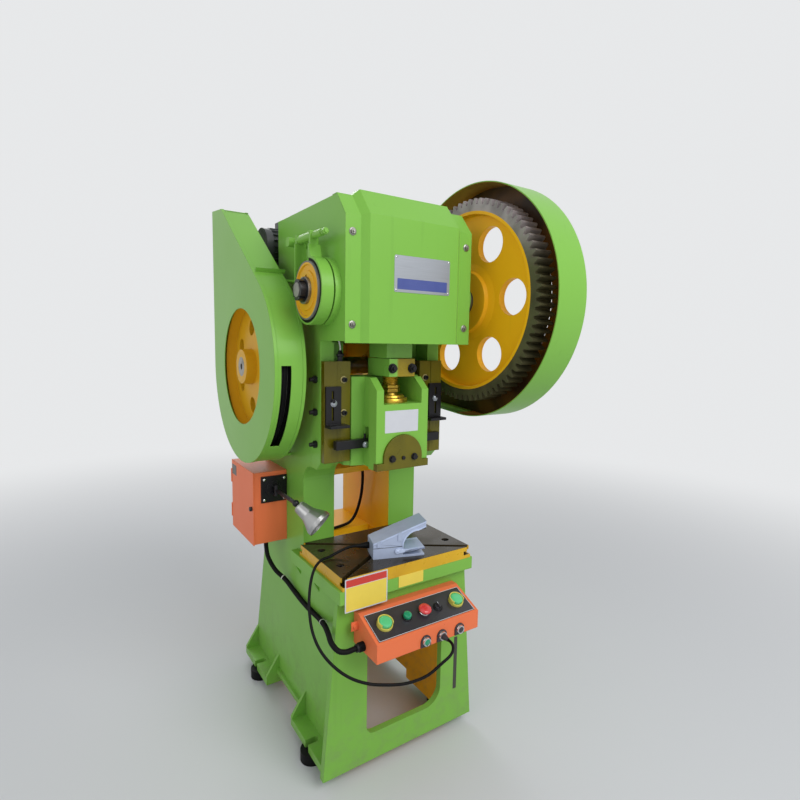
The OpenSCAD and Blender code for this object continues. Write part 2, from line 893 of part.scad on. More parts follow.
// Removable upper cover of the belt guard, with a lip at its lower end
module belt_guard_top() {
    u = guard_dir();
    n = turned(u);
    p = guard_lip();
    top = guard_top_front - 12 * u;
    x0 = guard_x0 + guard_sheet + gap;
    color(green) {
        along_x(x0, guard_x1)
            polygon([p + 1 * u, p + 1 * u - guard_sheet * n, top - guard_sheet * n, top]);
        along_x(guard_x0 + 12 + gap, guard_x1 + 10)
            polygon([p + 1 * u, p + 3.4 * u, p + 3.4 * u + 16 * n, p + 1 * u + 16 * n]);
    }
    color(steel)
        translate([(guard_x0 + guard_x1) / 2 + 20, p[0] + 3.4 * u[0] + 9 * n[0],
            p[1] + 3.4 * u[1] + 9 * n[1]])
            rotate([-atan2(u[0], u[1]), 0, 0])
                hex_bolt(m_bolt, 0);
}

// Rods that hold both guards off the frame's sides
function gear_stays() = [for (a = [-62, 18]) [axis_y + (gear_guard_r - 20) * cos(a),
    crank_z + (gear_guard_r - 20) * sin(a)]];

module guard_stays() {
    color(green) {
        for (p = stay_places())
            bar_x(guard_x1 - 14, -half_w, p[0], p[1], 6);
        for (p = gear_stays())
            bar_x(half_w, gear_guard_x0 + 30, p[0], p[1], 10);
    }
}

module gear_guard_outline(inset) {
    c = [axis_y, crank_z];
    d = [pinion_y, pinion_z];
    r0 = gear_guard_r - inset;
    r1 = lobe_r - inset;
    a = atan2(d[1] - c[1], d[0] - c[0]);
    b = acos((r0 - r1) / norm(d - c));
    translate(c)
        circle(r0, $fn = 120);
    translate(d)
        circle(r1, $fn = 64);
    polygon([for (q = [[c, r0, b], [c, r0, -b], [d, r1, -b], [d, r1, b]])
        q[0] + q[1] * [cos(a + q[2]), sin(a + q[2])]]);
}

module gear_guard() {
    color(green)
        difference() {
            union() {
                along_x(gear_guard_x0, gear_guard_x1)
                    difference() {
                        gear_guard_outline(0);
                        gear_guard_outline(gear_guard_t);
                    }
                along_x(gear_guard_x1 - gear_guard_t, gear_guard_x1)
                    difference() {
                        gear_guard_outline(1);
                        gear_guard_outline(22);
                    }
                for (p = gear_stays())
                    bar_x(gear_guard_x0, gear_guard_x0 + 28, p[0], p[1], 17.5);
            }
            for (p = gear_stays())
                bar_x(gear_guard_x0 - 1, gear_guard_x0 + 31, p[0], p[1], 10 + gap);
        }
}

module bush(x0, x1, y, z, r) {
    translate([x0, y, z])
        rotate([0, 90, 0])
            difference() {
                cylinder(h = x1 - x0, r = r + bush_t + run_gap);
                translate([0, 0, -1])
                    cylinder(h = x1 - x0 + 2, r = r + run_gap);
            }
}

module bearing_bushes() {
    color(bronze) {
        for (s = [-1, 1]) {
            bush(s > 0 ? head_boss : -boss_x, s > 0 ? boss_x : -head_boss, axis_y, crank_z, journal_r);
            bush(s > 0 ? half_gap : -boss_x, s > 0 ? boss_x : -half_gap, pinion_y, pinion_z, pinion_r);
        }
    }
}

// Band brake
module band_sector(r0, r1) {
    difference() {
        circle(r1, $fn = 96);
        circle(r0, $fn = 96);
        polygon([[0, 0], [far, 0], [far, far], [-far * sin(4), far * cos(4)]]);
    }
}

module brake_band() {
    color(green) {
        along_x(band_x0, band_x1)
            translate([axis_y, crank_z])
                band_sector(lining_r + seat, band_r);
        block([band_x0, band_x1], [axis_y + lining_r + seat, axis_y + band_r],
            [crank_z - 1, tension_z - 14]);
        along_x(band_x0, band_x1)
            translate([axis_y, crank_z])
                polygon([[-24, lining_r + 1.5], [-8, lining_r + 46], [-1, lining_r + 46],
                    [-1, lining_r + 1.5]]);
        difference() {
            block([band_x0 + 6, band_x1 - 6], [axis_y - 8, axis_y + 4],
                [crank_z + lining_r + 8, tension_z + 14]);
            bar_y((band_x0 + band_x1) / 2, axis_y - 9, axis_y + 5, tension_z, 6.5);
        }
        difference() {
            block([band_x0 + 6, band_x1 - 6], [axis_y + lining_r + seat, axis_y + band_r + 5],
                [tension_z - 15, tension_z + 14]);
            bar_y((band_x0 + band_x1) / 2, axis_y + lining_r, axis_y + band_r + 6, tension_z, 6.5);
        }
    }
}

module brake_lining() {
    color(black)
        along_x(band_x0 + 1, band_x1 - 1)
            translate([axis_y, crank_z])
                band_sector(drum_r + gap, lining_r);
}

module brake_tensioner() {
    x = (band_x0 + band_x1) / 2;
    color(green) {
        difference() {
            bar_x(-half_w - 72, -half_w, anchor_y, tension_z, 17);
            bar_y(x, anchor_y - 30, anchor_y + 30, tension_z, 6.2);
        }
        bar_y(x, axis_y - 100, anchor_y + 26, tension_z, 6);
        difference() {
            bar_y(x, axis_y + 5, axis_y + lining_r - 1, tension_z, 15);
            bar_y(x, axis_y + 4, axis_y + lining_r, tension_z, 6.2);
        }
        difference() {
            bar_y(x, axis_y - 72, axis_y - 9, tension_z, 12);
            bar_y(x, axis_y - 73, axis_y - 8, tension_z, 6.2);
        }
        for (y = [axis_y - 84, axis_y - 96])
            translate([x, y, tension_z])
                rotate([-90, 0, 0])
                    difference() {
                        cylinder(h = 10, r = 11, $fn = 6);
                        translate([0, 0, -1])
                            cylinder(h = 12, r = 6.2);
                    }
    }
}

// Motor with fins, and its sliding base on the frame's rear shelf
module motor() {
    fins = 20;
    color(steel) {
        difference() {
            union() {
                bar_x(motor_x0 + 30, motor_x1 - 46, motor_y, motor_z, motor_r - 12);
                bar_x(motor_x0, motor_x0 + 30.5, motor_y, motor_z, motor_r - 4);
                bar_x(motor_x1 - 46.5, motor_x1, motor_y, motor_z, motor_r - 4);
                for (i = [0:fins - 1])
                    if (abs(sin(360 * i / fins) + 1) > 0.25)
                        translate([motor_x0 + 30, motor_y, motor_z])
                            rotate([360 * i / fins, 0, 0])
                                translate([0, motor_r - 14, -1.5])
                                    cube([motor_x1 - motor_x0 - 76, 14, 3]);
            }
            bar_x(motor_x1 - 2, motor_x1 + 1, motor_y, motor_z, motor_r - 30);
        }
        for (x = [motor_x0 + 50, motor_x1 - 90])
            block([x, x + 40], [motor_y - 66, motor_y + 66], [motor_z - motor_r - 4, motor_z - motor_r + 26]);
        block([motor_x0 + 80, motor_x0 + 180], [motor_y - 45, motor_y + 45],
            [motor_z + motor_r - 16, motor_z + motor_r + 32]);
    }
}

module motor_base() {
    z = shelf_z;
    t = motor_z - motor_r - 4 - z;
    color(green)
        difference() {
            block([motor_x0 + 40, motor_x1 - 40], [motor_y - 80, motor_y + 80], [z, z + t]);
            block([motor_x0 + 80, motor_x1 - 80], [motor_y - 30, motor_y + 60], [z - 1, z + t + 1]);
        }
}

module motor_pulley() {
    x0 = fly_x0 + 4;
    color(steel) {
        bar_x(x0, x0 + fly_w - 8, motor_y, motor_z, pulley_r);
        bar_x(x0 + fly_w - 9, motor_x0 - run_gap, motor_y, motor_z, 19);
    }
}

// Four V-belts round the flywheel and the pulley
module belt_loop(grow) {
    c = [pinion_y, pinion_z];
    d = [motor_y, motor_z];
    r0 = fly_r + grow;
    r1 = pulley_r + grow;
    a = atan2(d[1] - c[1], d[0] - c[0]);
    b = acos((r0 - r1) / norm(d - c));
    translate(c)
        circle(r0, $fn = 96);
    translate(d)
        circle(r1, $fn = 48);
    polygon([for (q = [[c, r0, b], [c, r0, -b], [d, r1, -b], [d, r1, b]])
        q[0] + q[1] * [cos(a + q[2]), sin(a + q[2])]]);
}

module drive_belts() {
    color(black)
        for (i = [0:3])
            along_x(fly_x0 + 9 + i * (fly_w - 32) / 3, fly_x0 + 23 + i * (fly_w - 32) / 3)
                difference() {
                    belt_loop(9);
                    belt_loop(gap);
                }
}

module flywheel() {
    holes = 6;
    hub_r = 67;
    hub_x0 = fly_x0 - 10;
    bore = pinion_r + seat;
    color(yellow)
        difference() {
            translate([fly_x0, pinion_y, pinion_z])
                rotate([0, 90, 0])
                    rotate_extrude($fn = 96)
                        polygon([[bore, hub_x0 - fly_x0], [hub_r, hub_x0 - fly_x0], [hub_r + 4, 30],
                            [fly_rim_r - 6, 38], [fly_rim_r, 0], [fly_r, 0], [fly_r, fly_w],
                            [fly_rim_r, fly_w], [fly_rim_r - 4, 60], [hub_r + 8, 58],
                            [hub_r, fly_w], [bore, fly_w]]);
            for (i = [0:holes - 1])
                translate([0, pinion_y, pinion_z])
                    rotate([30 + 360 * i / holes, 0, 0])
                        bar_x(fly_x0, fly_x1, 155, 0, 32);
        }
}

module pinion_shaft() {
    color(steel)
        difference() {
            union() {
                bar_x(fly_x0 - 10, gear_x1 + 22, pinion_y, pinion_z, pinion_r);
                translate([gear_x0 + 1, pinion_y, pinion_z])
                    rotate([90, 0, 90])
                        linear_extrude(face_w - 2)
                            gear_outline(pinion_teeth, gear_mod, 0.6, pinion_turn());
            }
            bar_x(fly_x0 - 11, fly_x0 - 2, pinion_y, pinion_z, 12);
        }
}

// A tooth of the main gear points at the pinion, which shows it a space
function pinion_turn() = mesh_angle + 180 + 180 / pinion_teeth;

module crankshaft() {
    web_x = 62;
    web_r = pin_r + stroke / 2 + 10;
    color(steel) {
        difference() {
            union() {
                bar_x(band_x0 - 16, -web_x, axis_y, crank_z, journal_r);
                bar_x(web_x, gear_x0 - 8, axis_y, crank_z, journal_r);
                bar_x(gear_x0 - 8.5, gear_x1 + 6, axis_y, crank_z, gear_seat_r);
                bar_x(-web_x - 46, -web_x, axis_y, crank_z + 12, web_r);
                bar_x(web_x, web_x + 46, axis_y, crank_z + 12, web_r);
                bar_x(-web_x - 1, web_x + 1, axis_y, crank_z + stroke / 2, pin_r);
                bar_x(band_x0 - 40, band_x0 - 15, axis_y, crank_z, 24);
            }
            block([band_x0 - 17, band_x1], [axis_y - 7, axis_y + 7],
                [crank_z + journal_r - 6, crank_z + journal_r + 1]);
        }
    }
}

module brake_drum() {
    x0 = band_x0 - 6;
    color(yellow)
        difference() {
            translate([x0, axis_y, crank_z])
                rotate([0, 90, 0])
                    rotate_extrude($fn = 96)
                        polygon([[journal_r + seat, 0], [journal_r + 20, 0], [journal_r + 22, 5],
                            [drum_r - 14, 5], [drum_r - 12, 0], [drum_r, 0], [drum_r, band_w + 7],
                            [drum_r - 14, band_w + 7], [drum_r - 16, 24], [journal_r + 20, 24],
                            [journal_r + 18, band_w + 7], [journal_r + seat, band_w + 7]]);
            block([x0 - 1, x0 + 60], [axis_y - 7, axis_y + 7],
                [crank_z + journal_r - 6, crank_z + journal_r + 6]);
        }
}

module crank_nut() {
    x1 = band_x0 - 16;
    x0 = x1 - 22;
    color(black) {
        translate([x0, axis_y, crank_z])
            rotate([0, 90, 0])
                difference() {
                    cylinder(h = 20, r = 35);
                    translate([0, 0, -1])
                        cylinder(h = 24, r = 24 + seat);
                    for (a = [45, 135, 225, 315])
                        rotate([0, 0, a])
                            translate([30, -4, -1])
                                cube([10, 8, 22]);
                }
        translate([x0 + 20, axis_y, crank_z])
            rotate([0, 90, 0])
                difference() {
                    cylinder(h = 2, r = 40);
                    translate([0, 0, -1])
                        cylinder(h = 4, r = 24 + seat);
                }
    }
}

module main_gear() {
    hub = gear_seat_r + run_gap;
    color(yellow)
        difference() {
            union() {
                translate([gear_x0, axis_y, crank_z])
                    rotate([90, 0, 90])
                        linear_extrude(face_w)
                            difference() {
                                gear_outline(main_teeth, gear_mod, 0.6, mesh_angle);
                                circle(gear_web_r - 12, $fn = 96);
                            }
                translate([gear_x0, axis_y, crank_z])
                    rotate([0, 90, 0])
                        rotate_extrude($fn = 96)
                            polygon([[hub - 1, 0], [gear_boss_r, 0], [gear_boss_r + 6, 14],
                                [gear_boss_r + 34, 22], [gear_web_r - 13, 24],
                                [gear_web_r - 10, 14], [gear_web_r - 10, face_w - 14],
                                [gear_web_r - 13, 50], [gear_boss_r + 14, 50],
                                [gear_boss_r, face_w], [hub - 1, face_w]]);
            }
            bar_x(gear_x0 - 1, gear_x1 + 1, axis_y, crank_z, hub);
            for (i = [0:gear_holes - 1])
                translate([0, axis_y, crank_z])
                    rotate([178 + 360 * i / gear_holes, 0, 0])
                        bar_x(gear_x0, gear_x1, gear_hole_at, 0, gear_hole_r);
        }
}

module gear_retainer() {
    x = gear_x1 + 6;
    color(steel) {
        bar_x(x, x + 10, axis_y, crank_z, 78);
        for (a = [30, 150, 270])
            translate([x + 10, axis_y + 32 * cos(a), crank_z + 32 * sin(a)])
                rotate([0, 90, 0])
                    hex_bolt(12, 0, false);
    }
}

// Slide: its section runs in the gibs, the front holds the screw and the clamp
pocket_hw = 82;
pocket_z = slide_z + 237;
pocket_back = axis_y + 90;
clamp_hw = 88;
clamp_mid = 42;

module slide_section() {
    hw = slide_hw;
    mid = (rail_front + rail_back) / 2;
    front = axis_y - 90;
    half = [[hw, front], [hw, front + 52], [hw - 14, front + 66], [hw - 14, rail_front - 22],
        [rail_hw - 2, rail_front - 10], [rail_hw, rail_front], [rail_tip, mid - rail_flat],
        [rail_tip, mid + rail_flat], [rail_hw, rail_back], [rail_hw - 4, rail_back + 6]];
    polygon(concat(half, [for (i = [len(half) - 1:-1:0]) [-half[i][0], half[i][1]]]));
}

function bar_slot_z() = slide_z + 72;

module slide() {
    front = axis_y - 90;
    color(green)
        difference() {
            translate([0, 0, slide_z])
                linear_extrude(slide_h)
                    slide_section();
            block([-pocket_hw, pocket_hw], [front - 1, pocket_back], [pocket_z, far]);
            along_x(-far, far)
                polygon([[front - 1, slide_top - 44], [front + 1, slide_top - 42],
                    [front + 52, slide_top + 1], [front - 1, slide_top + 1]]);
            block([-far, far], [axis_y - 12.5, axis_y + 12.5], [bar_slot_z(), bar_slot_z() + 76]);
            bar_z(0, axis_y, slide_z - 1, slide_z + shank_l, shank_r);
            die_clamp_solid(gap);
            for (s = [-1, 1])
                bar_y(s * clamp_bolt_x(), axis_y - 1, axis_y + 40, clamp_bolt_z(), 6 + gap);
            bar_z(0, axis_y, pocket_z - 24, pocket_z + 1, 30);
        }
}

function clamp_bolt_x() = 48;
function clamp_bolt_z() = slide_z + 40;

module die_clamp_solid(grow) {
    front = axis_y - 90;
    along_y(front - 8, axis_y - gap)
        union() {
            translate([0, slide_z + clamp_mid])
                difference() {
                    circle(clamp_hw - 5 + grow);
                    translate([-far, -2 * far])
                        square([2 * far, 2 * far]);
                }
            translate([-clamp_hw + 5 - grow, slide_z - 1])
                square([2 * (clamp_hw - 5 + grow), clamp_mid + 2]);
        }
    block([-slide_hw - 1, slide_hw + 1], [front - 9, front + 16], [slide_z - 1, slide_z + 26 + grow]);
}

module die_clamp() {
    front = axis_y - 90;
    color(oiled)
        difference() {
            intersection() {
                die_clamp_solid(0);
                block([-slide_hw, slide_hw], [front - 8, axis_y], [slide_z, slide_z + far]);
            }
            bar_z(0, axis_y, slide_z - 1, slide_z + shank_l, shank_r);
            block([-far, far], [axis_y - 12.5, axis_y + 12.5], [bar_slot_z(), far]);
            for (s = [-1, 1])
                bar_y(s * clamp_bolt_x(), front - 10, axis_y + 1, clamp_bolt_z(), 6 + gap);
        }
}

module clamp_bolts() {
    color(black) {
        for (s = [-1, 1])
            translate([s * clamp_bolt_x(), axis_y - 98, clamp_bolt_z()])
                rotate([90, 0, 0])
                    hex_bolt(12, 98 + 38);
        translate([0, axis_y - 98, clamp_bolt_z()])
            rotate([90, 0, 0])
                hex_bolt(8, 0, false);
    }
}

module knockout_bar() {
    z = bar_slot_z() + gap;
    color(black)
        block([-228, 228], [axis_y - 12, axis_y + 12], [z, z + 32]);
    color(steel)
        both_sides()
            bar_z(slide_hw - 5, axis_y, z + 32, z + 50, 4);
}

// Screw, seat and rod between the slide and the crank
screw_z0 = pocket_z - 20;
rod_z0 = pocket_z + 98;
rod_hw = 55;

module ball_screw() {
    color(brass)
        difference() {
            union() {
                translate([0, axis_y, pocket_z - 2])
                    sphere(26);
                bar_z(0, axis_y, pocket_z, rod_z0 + 40, 16);
                translate([0, axis_y, pocket_z + 36])
                    cylinder(h = 28, r = 26, $fn = 6);
            }
            block([-far, far], [-far, far], [-far, pocket_z - 24]);
        }
    color(brass)
        difference() {
            bar_z(0, axis_y, pocket_z, pocket_z + 25, 44);
            bar_z(0, axis_y, pocket_z - 1, pocket_z + 26, 26 + gap);
        }
}

module connecting_rod() {
    big_r = 92;
    eye_z = crank_z + stroke / 2;
    clear_r = pin_r + 3;
    color(green)
        difference() {
            union() {
                bar_x(-rod_hw, rod_hw, axis_y, eye_z, big_r);
                block([-rod_hw, rod_hw], [axis_y - 62, axis_y + 62], [rod_z0 + 66, eye_z - 50]);
                block([-rod_hw, rod_hw], [axis_y - 80, axis_y + 70], [rod_z0, rod_z0 + 64]);
                bar_z(0, axis_y, rod_z0 + 63, rod_z0 + 67, 50);
            }
            bar_x(-far, far, axis_y, eye_z, clear_r);
            block([-far, far], [axis_y, far], [eye_z - clear_r - 9, eye_z + clear_r + 9]);
            bar_x(-far, far, axis_y + 4, eye_z - 9, clear_r);
            bar_x(-far, far, axis_y + 4, eye_z + 9, clear_r);
            bar_z(0, axis_y, rod_z0 - 1, rod_z0 + 44, 16 + seat);
            for (s = [-1, 1])
                bar_y(s * 42, axis_y - 81, axis_y + 50, rod_z0 + 30, 8 + gap);
        }
}

module rod_studs() {
    color(black)
        for (s = [-1, 1])
            translate([s * 42, axis_y - 80, rod_z0 + 30])
                rotate([90, 0, 0]) {
                    hex_bolt(16, 120);
                    cylinder(h = 22, r = 7.9);
                }
}

// Electric box with a hinged door and what it holds
function hinge_rows() = [box_z0 + 40, box_z1 - 100];

module electric_box() {
    t = 2;
    color(orange)
        difference() {
            union() {
                block([box_x0, box_x1], [box_y0, box_y1], [box_z0, box_z1]);
                for (z = hinge_rows()) {
                    bar_z(box_x0 - 4.5, box_y1 - 6, z + 30 + gap, z + 60, 3.5);
                    block([box_x0 - 4.5, box_x0 + 1], [box_y1 - 6, box_y1],
                        [z + 30 + gap, z + 60]);
                }
            }
            block([box_x0 - 1, box_x1 - t], [box_y0 + t, box_y1 - t], [box_z0 + t, box_z1 - t]);
            bar_z(conduit_route[0][0], conduit_route[0][1], box_z0 - 1, box_z0 + 5, conduit_r + 4);
        }
    color(black)
        difference() {
            bar_z(conduit_route[0][0], conduit_route[0][1], box_z0 - 8, box_z0 + 8, conduit_r + 4 - gap);
            bar_z(conduit_route[0][0], conduit_route[0][1], box_z0 - 9, box_z0 + 9, conduit_r);
        }
}

module box_door() {
    x1 = box_x0 - 0.6;
    color(orange) {
        block([x1 - door_t, x1], [box_y0 - 3, box_y1 - 10], [box_z0 - 3, box_z1 + 3]);
        for (z = hinge_rows()) {
            bar_z(box_x0 - 4.5, box_y1 - 6, z, z + 30, 3.5);
            block([x1 - 3.8, x1 - 0.5], [box_y1 - 11, box_y1 - 6], [z, z + 30]);
        }
    }
    color(black)
        bar_x(x1 - door_t - 10, x1 - door_t, box_y0 + 14, (box_z0 + box_z1) / 2, 9);
}

module box_components() {
    x = box_x1 - 2;
    color(steel)
        block([x - 4, x], [box_y0 + 20, box_y1 - 20], [box_z0 + 50, box_z1 - 20]);
    color(black) {
        for (i = [0:2])
            block([x - 84, x - 4], [box_y0 + 36 + i * 56, box_y0 + 80 + i * 56],
                [box_z1 - 110, box_z1 - 36]);
        block([x - 74, x - 4], [box_y0 + 36, box_y0 + 126], [box_z0 + 66, box_z0 + 146]);
        block([x - 40, x - 4], [box_y0 + 146, box_y0 + 256], [box_z0 + 80, box_z0 + 110]);
    }
}

// Work lamp on a swivelling arm
module lamp_base() {
    s = 54;
    color(black) {
        difference() {
            union() {
                block([lamp_x - s, lamp_x + s], [box_y0 - 6, box_y0], [lamp_z - s, lamp_z + s]);
                bar_y(lamp_x, box_y0 - 12, box_y0 - 5, lamp_z, 34);
                for (z = [lamp_z - 22, lamp_z + 12])
                    block([lamp_x - 10, lamp_x + 10], [lamp_pivot_y, box_y0 - 11], [z, z + 10]);
                for (z = [lamp_z - 22, lamp_z + 12])
                    bar_z(lamp_x, lamp_pivot_y, z, z + 10, 10);
            }
            bar_z(lamp_x, lamp_pivot_y, lamp_z - 30, lamp_z + 30, 4);
        }
    }
    color(steel)
        for (sx = [-1, 1])
            for (sz = [-1, 1])
                bar_y(lamp_x + sx * 42, box_y0 - 9, box_y0 - 6, lamp_z + sz * 42, 5);
}

lamp_l = 200;
module lamp_arm() {
    color(black)
        difference() {
            union() {
                bar_z(lamp_x, lamp_pivot_y, lamp_z - 11.7, lamp_z + 11.7, 10);
                bar_z(lamp_x, lamp_pivot_y, lamp_z - 24, lamp_z + 24, 3.95);
                bar_y(lamp_x, lamp_pivot_y - lamp_l, lamp_pivot_y - 8, lamp_z, 8);
                translate([lamp_x, lamp_pivot_y - lamp_l, lamp_z])
                    sphere(13);
            }
        }
}

module lamp_head() {
    color(steel)
        translate([lamp_x, lamp_pivot_y - lamp_l, lamp_z])
            rotate([125, 0, 40])
                difference() {
                    rotate_extrude($fn = 48)
                        polygon([[0, 13.5], [20, 13.5], [24, 18], [30, 62], [52, 108], [52, 122],
                            [48, 122], [48, 109], [26, 64], [20, 60], [0, 60]]);
                    translate([0, 0, 0])
                        sphere(13 + gap);
                }
}

// Control box, its fascia, buttons and connectors
module on_slope() {
    translate([0, panel_front, slope_z])
        rotate([slope_a, 0, 0])
            children();
}

module panel_section(t) {
    polygon([[base_front + 0, panel_z0 + t], [panel_front + t, panel_z0 + t],
        [panel_front + t, slope_z - t * tan(slope_a / 2)],
        [slope_y - t * tan(slope_a / 2), panel_top - t], [base_front + 0, panel_top - t]]);
}

module control_box() {
    t = 2;
    color(orange)
        difference() {
            union() {
                along_x(-panel_hw, panel_hw)
                    panel_section(0);
                block([-panel_hw - 26, -panel_hw + 1], [base_front - 30, base_front - 26],
                    [panel_top - 58, panel_top - 26]);
            }
            along_x(-panel_hw + t, panel_hw - t)
                panel_section(t);
            on_slope()
                block([-fascia_hw + 8, fascia_hw - 8], [16, slope_l - 26], [-20, 20]);
            bar_x(-panel_hw - 1, -panel_hw + 3, conduit_end[1], conduit_end[2], conduit_r + 4);
            for (x = connector_x())
                bar_y(x, panel_front - 1, panel_front + 3, connector_z(), 11);
        }
    color(brass)
        bar_y(-panel_hw - 13, base_front - 35, base_front - 30, panel_top - 42, 7);
    color(black)
        difference() {
            bar_x(-panel_hw - 30, -panel_hw + 10, conduit_end[1], conduit_end[2],
                conduit_r + 4 - gap);
            bar_x(-panel_hw - 31, -panel_hw + 11, conduit_end[1], conduit_end[2],
                conduit_r + seat);
        }
}

function connector_x() = [-22, 48, 128];
function connector_z() = panel_z0 + 22;
function button_bores() = [[-palm_x, 16], [palm_x, 16], [start_x, 11], [stop_x, 11], [select_x, 11]];

module control_fascia() {
    color(black)
        on_slope()
            difference() {
                block([-fascia_hw, fascia_hw], [8, slope_l - 18], [0, fascia_t]);
                for (b = button_bores())
                    translate([b[0], button_row, -1])
                        cylinder(h = 10, r = b[1] + gap);
            }
}

module button_shrouds() {
    color(yellow)
        on_slope()
            for (x = [-palm_x, palm_x])
                translate([x, button_row, fascia_t])
                    difference() {
                        cylinder(h = 20, r = 28);
                        translate([0, 0, 3])
                            cylinder(h = 30, r = 24);
                        translate([0, 0, -1])
                            cylinder(h = 10, r = 13 + gap);
                        translate([-40, -60, 9])
                            cube([80, 46, 20]);
                    }
    color(steel)
        on_slope()
            for (x = [start_x, stop_x, select_x])
                translate([x, button_row, fascia_t])
                    difference() {
                        cylinder(h = 3, r = 14);
                        translate([0, 0, -1])
                            cylinder(h = 10, r = 10 + gap);
                    }
}

module push_button(x, head_r, stem_r, stand, dome) {
    on_slope()
        translate([x, button_row, 0]) {
            translate([0, 0, -14])
                cylinder(h = 14 + fascia_t + stand + 1, r = stem_r);
            translate([0, 0, fascia_t + stand])
                cylinder(h = 5, r = head_r);
            translate([0, 0, fascia_t + stand + 5])
                scale([1, 1, 1])
                    rotate_extrude()
                        polygon(concat([[0, 0]], [for (a = [0:15:90]) [head_r * cos(a), dome * sin(a)]]));
        }
}

module palm_button_left() {
    color("#2fae4a")
        push_button(-palm_x, 21, 13, 9, 8);
}

module palm_button_right() {
    color("#2fae4a")
        push_button(palm_x, 21, 13, 9, 8);
}

module start_button() {
    color("#2fae4a")
        push_button(start_x, 9.5, 9.5, 3.5, 1);
}

module emergency_stop() {
    color("#d8202a")
        push_button(stop_x, 20, 10, 11, 6);
}

module selector_switch() {
    color(black) {
        push_button(select_x, 9.5, 9.5, 3.5, 1);
        on_slope()
            translate([select_x - 3, button_row - 9, fascia_t + 9])
                cube([6, 18, 8]);
    }
}

module panel_connectors() {
    for (i = [0:2]) {
        x = connector_x()[i];
        color(black)
            translate([x, panel_front, connector_z()])
                rotate([90, 0, 0])
                    difference() {
                        union() {
                            cylinder(h = 4, r = 21);
                            translate([-21, -20, 0])
                                cube([42, 22, 4]);
                        }
                        translate([0, 0, -1])
                            cylinder(h = 8, r = 15);
                    }
        color(i == 0 ? "#2fae4a" : black)
            translate([x, panel_front, connector_z()])
                rotate([90, 0, 0]) {
                    translate([0, 0, -8])
                        cylinder(h = 9, r = 10.6);
                    translate([0, 0, 0.5])
                        cylinder(h = 10, r = 14.7);
                    if (i == 1)
                        translate([0, 0, 10])
                            cylinder(h = 28, r1 = 12, r2 = cord_r + 1);
                }
    }
}

module conduit() {
    color(black)
        tube(conduit_route, conduit_r - 0.5, 10);
}

module throat_cable() {
    color(black)
        tube(throat_route, throat_r, 8);
}

// Foot pedal with a treadle under its hood
module pedal_frame() {
    translate([pedal_at[0], pedal_at[1], bolster_top])
        rotate([0, 0, pedal_turn])
            children();
}

module pedal_extrude(y0, y1) {
    along_y(y0, y1)
        children();
}

module pedal_side() {
    l = pedal_l;
    polygon(concat([[0, 0], [l, 0], [l, 8], [l - 82, 8]],
        arc([l - 20, 50], 62, 180, 95, 6), [[l + 4, 122], [l + 6, 132], [0, 60]]));
}

module pedal_housing() {
    w = 6;
    color(pedal_blue)
        pedal_frame()
            difference() {
                pedal_extrude(0, pedal_w)
                    pedal_side();
                pedal_extrude(w, pedal_w - w)
                    polygon([[w, 8], [pedal_l - 60, 8], [pedal_l - 60, 44], [pedal_l - 88, 44],
                        [pedal_l - 88, 90], [w, 54]]);
                bar_y(pedal_pivot[0], -1, pedal_w + 1, pedal_pivot[1], 4 + run_gap);
                bar_x(-1, w + 1, pedal_w - 22, 30, 9);
            }
}

module pedal_treadle() {
    p = pedal_pivot;
    color(pedal_blue)
        pedal_frame() {
            bar_y(p[0], 0.5, pedal_w - 0.5, p[1], 4);
            pedal_extrude(7, pedal_w - 7)
                union() {
                    polygon([[p[0] - 2, p[1] - 7], [p[0] + 30, p[1] - 6], [pedal_l, p[1] + 1],
                        [pedal_l, p[1] + 7], [p[0] + 30, p[1] + 2], [p[0] - 2, p[1] + 7]]);
                    translate(p)
                        circle(8);
                }
        }
}

module pedal_gland() {
    color(black)
        pedal_frame() {
            bar_x(-14, 0, pedal_w - 22, 30, 12);
            difference() {
                translate([-46, pedal_w - 22, 30])
                    rotate([0, 90, 0])
                        cylinder(h = 32, r1 = cord_r + 1, r2 = 11);
            }
            bar_x(-1, 12, pedal_w - 22, 30, 8.7);
        }
}

module pedal_cord() {
    color(black)
        tube(cord_route, cord_r, 8);
}

function pad_x() = feet_w / 2 - slot_l / 2;

module foot_pads() {
    color(black)
        for (x = [-1, 1])
            for (y = [-1, 1])
                difference() {
                    bar_z(x * pad_x(), y * slot_pitch / 2, -pad_h, 0, 46);
                    bar_z(x * pad_x(), y * slot_pitch / 2, -pad_h - 1, 1, slot_w / 2);
                }
}

frame_base();
frame_columns();
frame_head();
bolster_plate();
bolster_bolts();
front_cover();
cover_bolts();
gib_left();
gib_right();
gib_strips();
gib_screws();
knockout_stops();
belt_guard();
belt_guard_top();
guard_stays();
gear_guard();
bearing_bushes();
brake_band();
brake_lining();
brake_tensioner();
motor();
motor_base();
motor_pulley();
drive_belts();
flywheel();
pinion_shaft();
crankshaft();
brake_drum();
crank_nut();
main_gear();
gear_retainer();
slide();
connecting_rod();
rod_studs();
ball_screw();
die_clamp();
clamp_bolts();
knockout_bar();
electric_box();
box_door();
box_components();
lamp_base();
lamp_arm();
lamp_head();
control_box();
control_fascia();
button_shrouds();
palm_button_left();
palm_button_right();
start_button();
emergency_stop();
selector_switch();
panel_connectors();
conduit();
throat_cable();
pedal_housing();
pedal_treadle();
pedal_gland();
pedal_cord();
foot_pads();
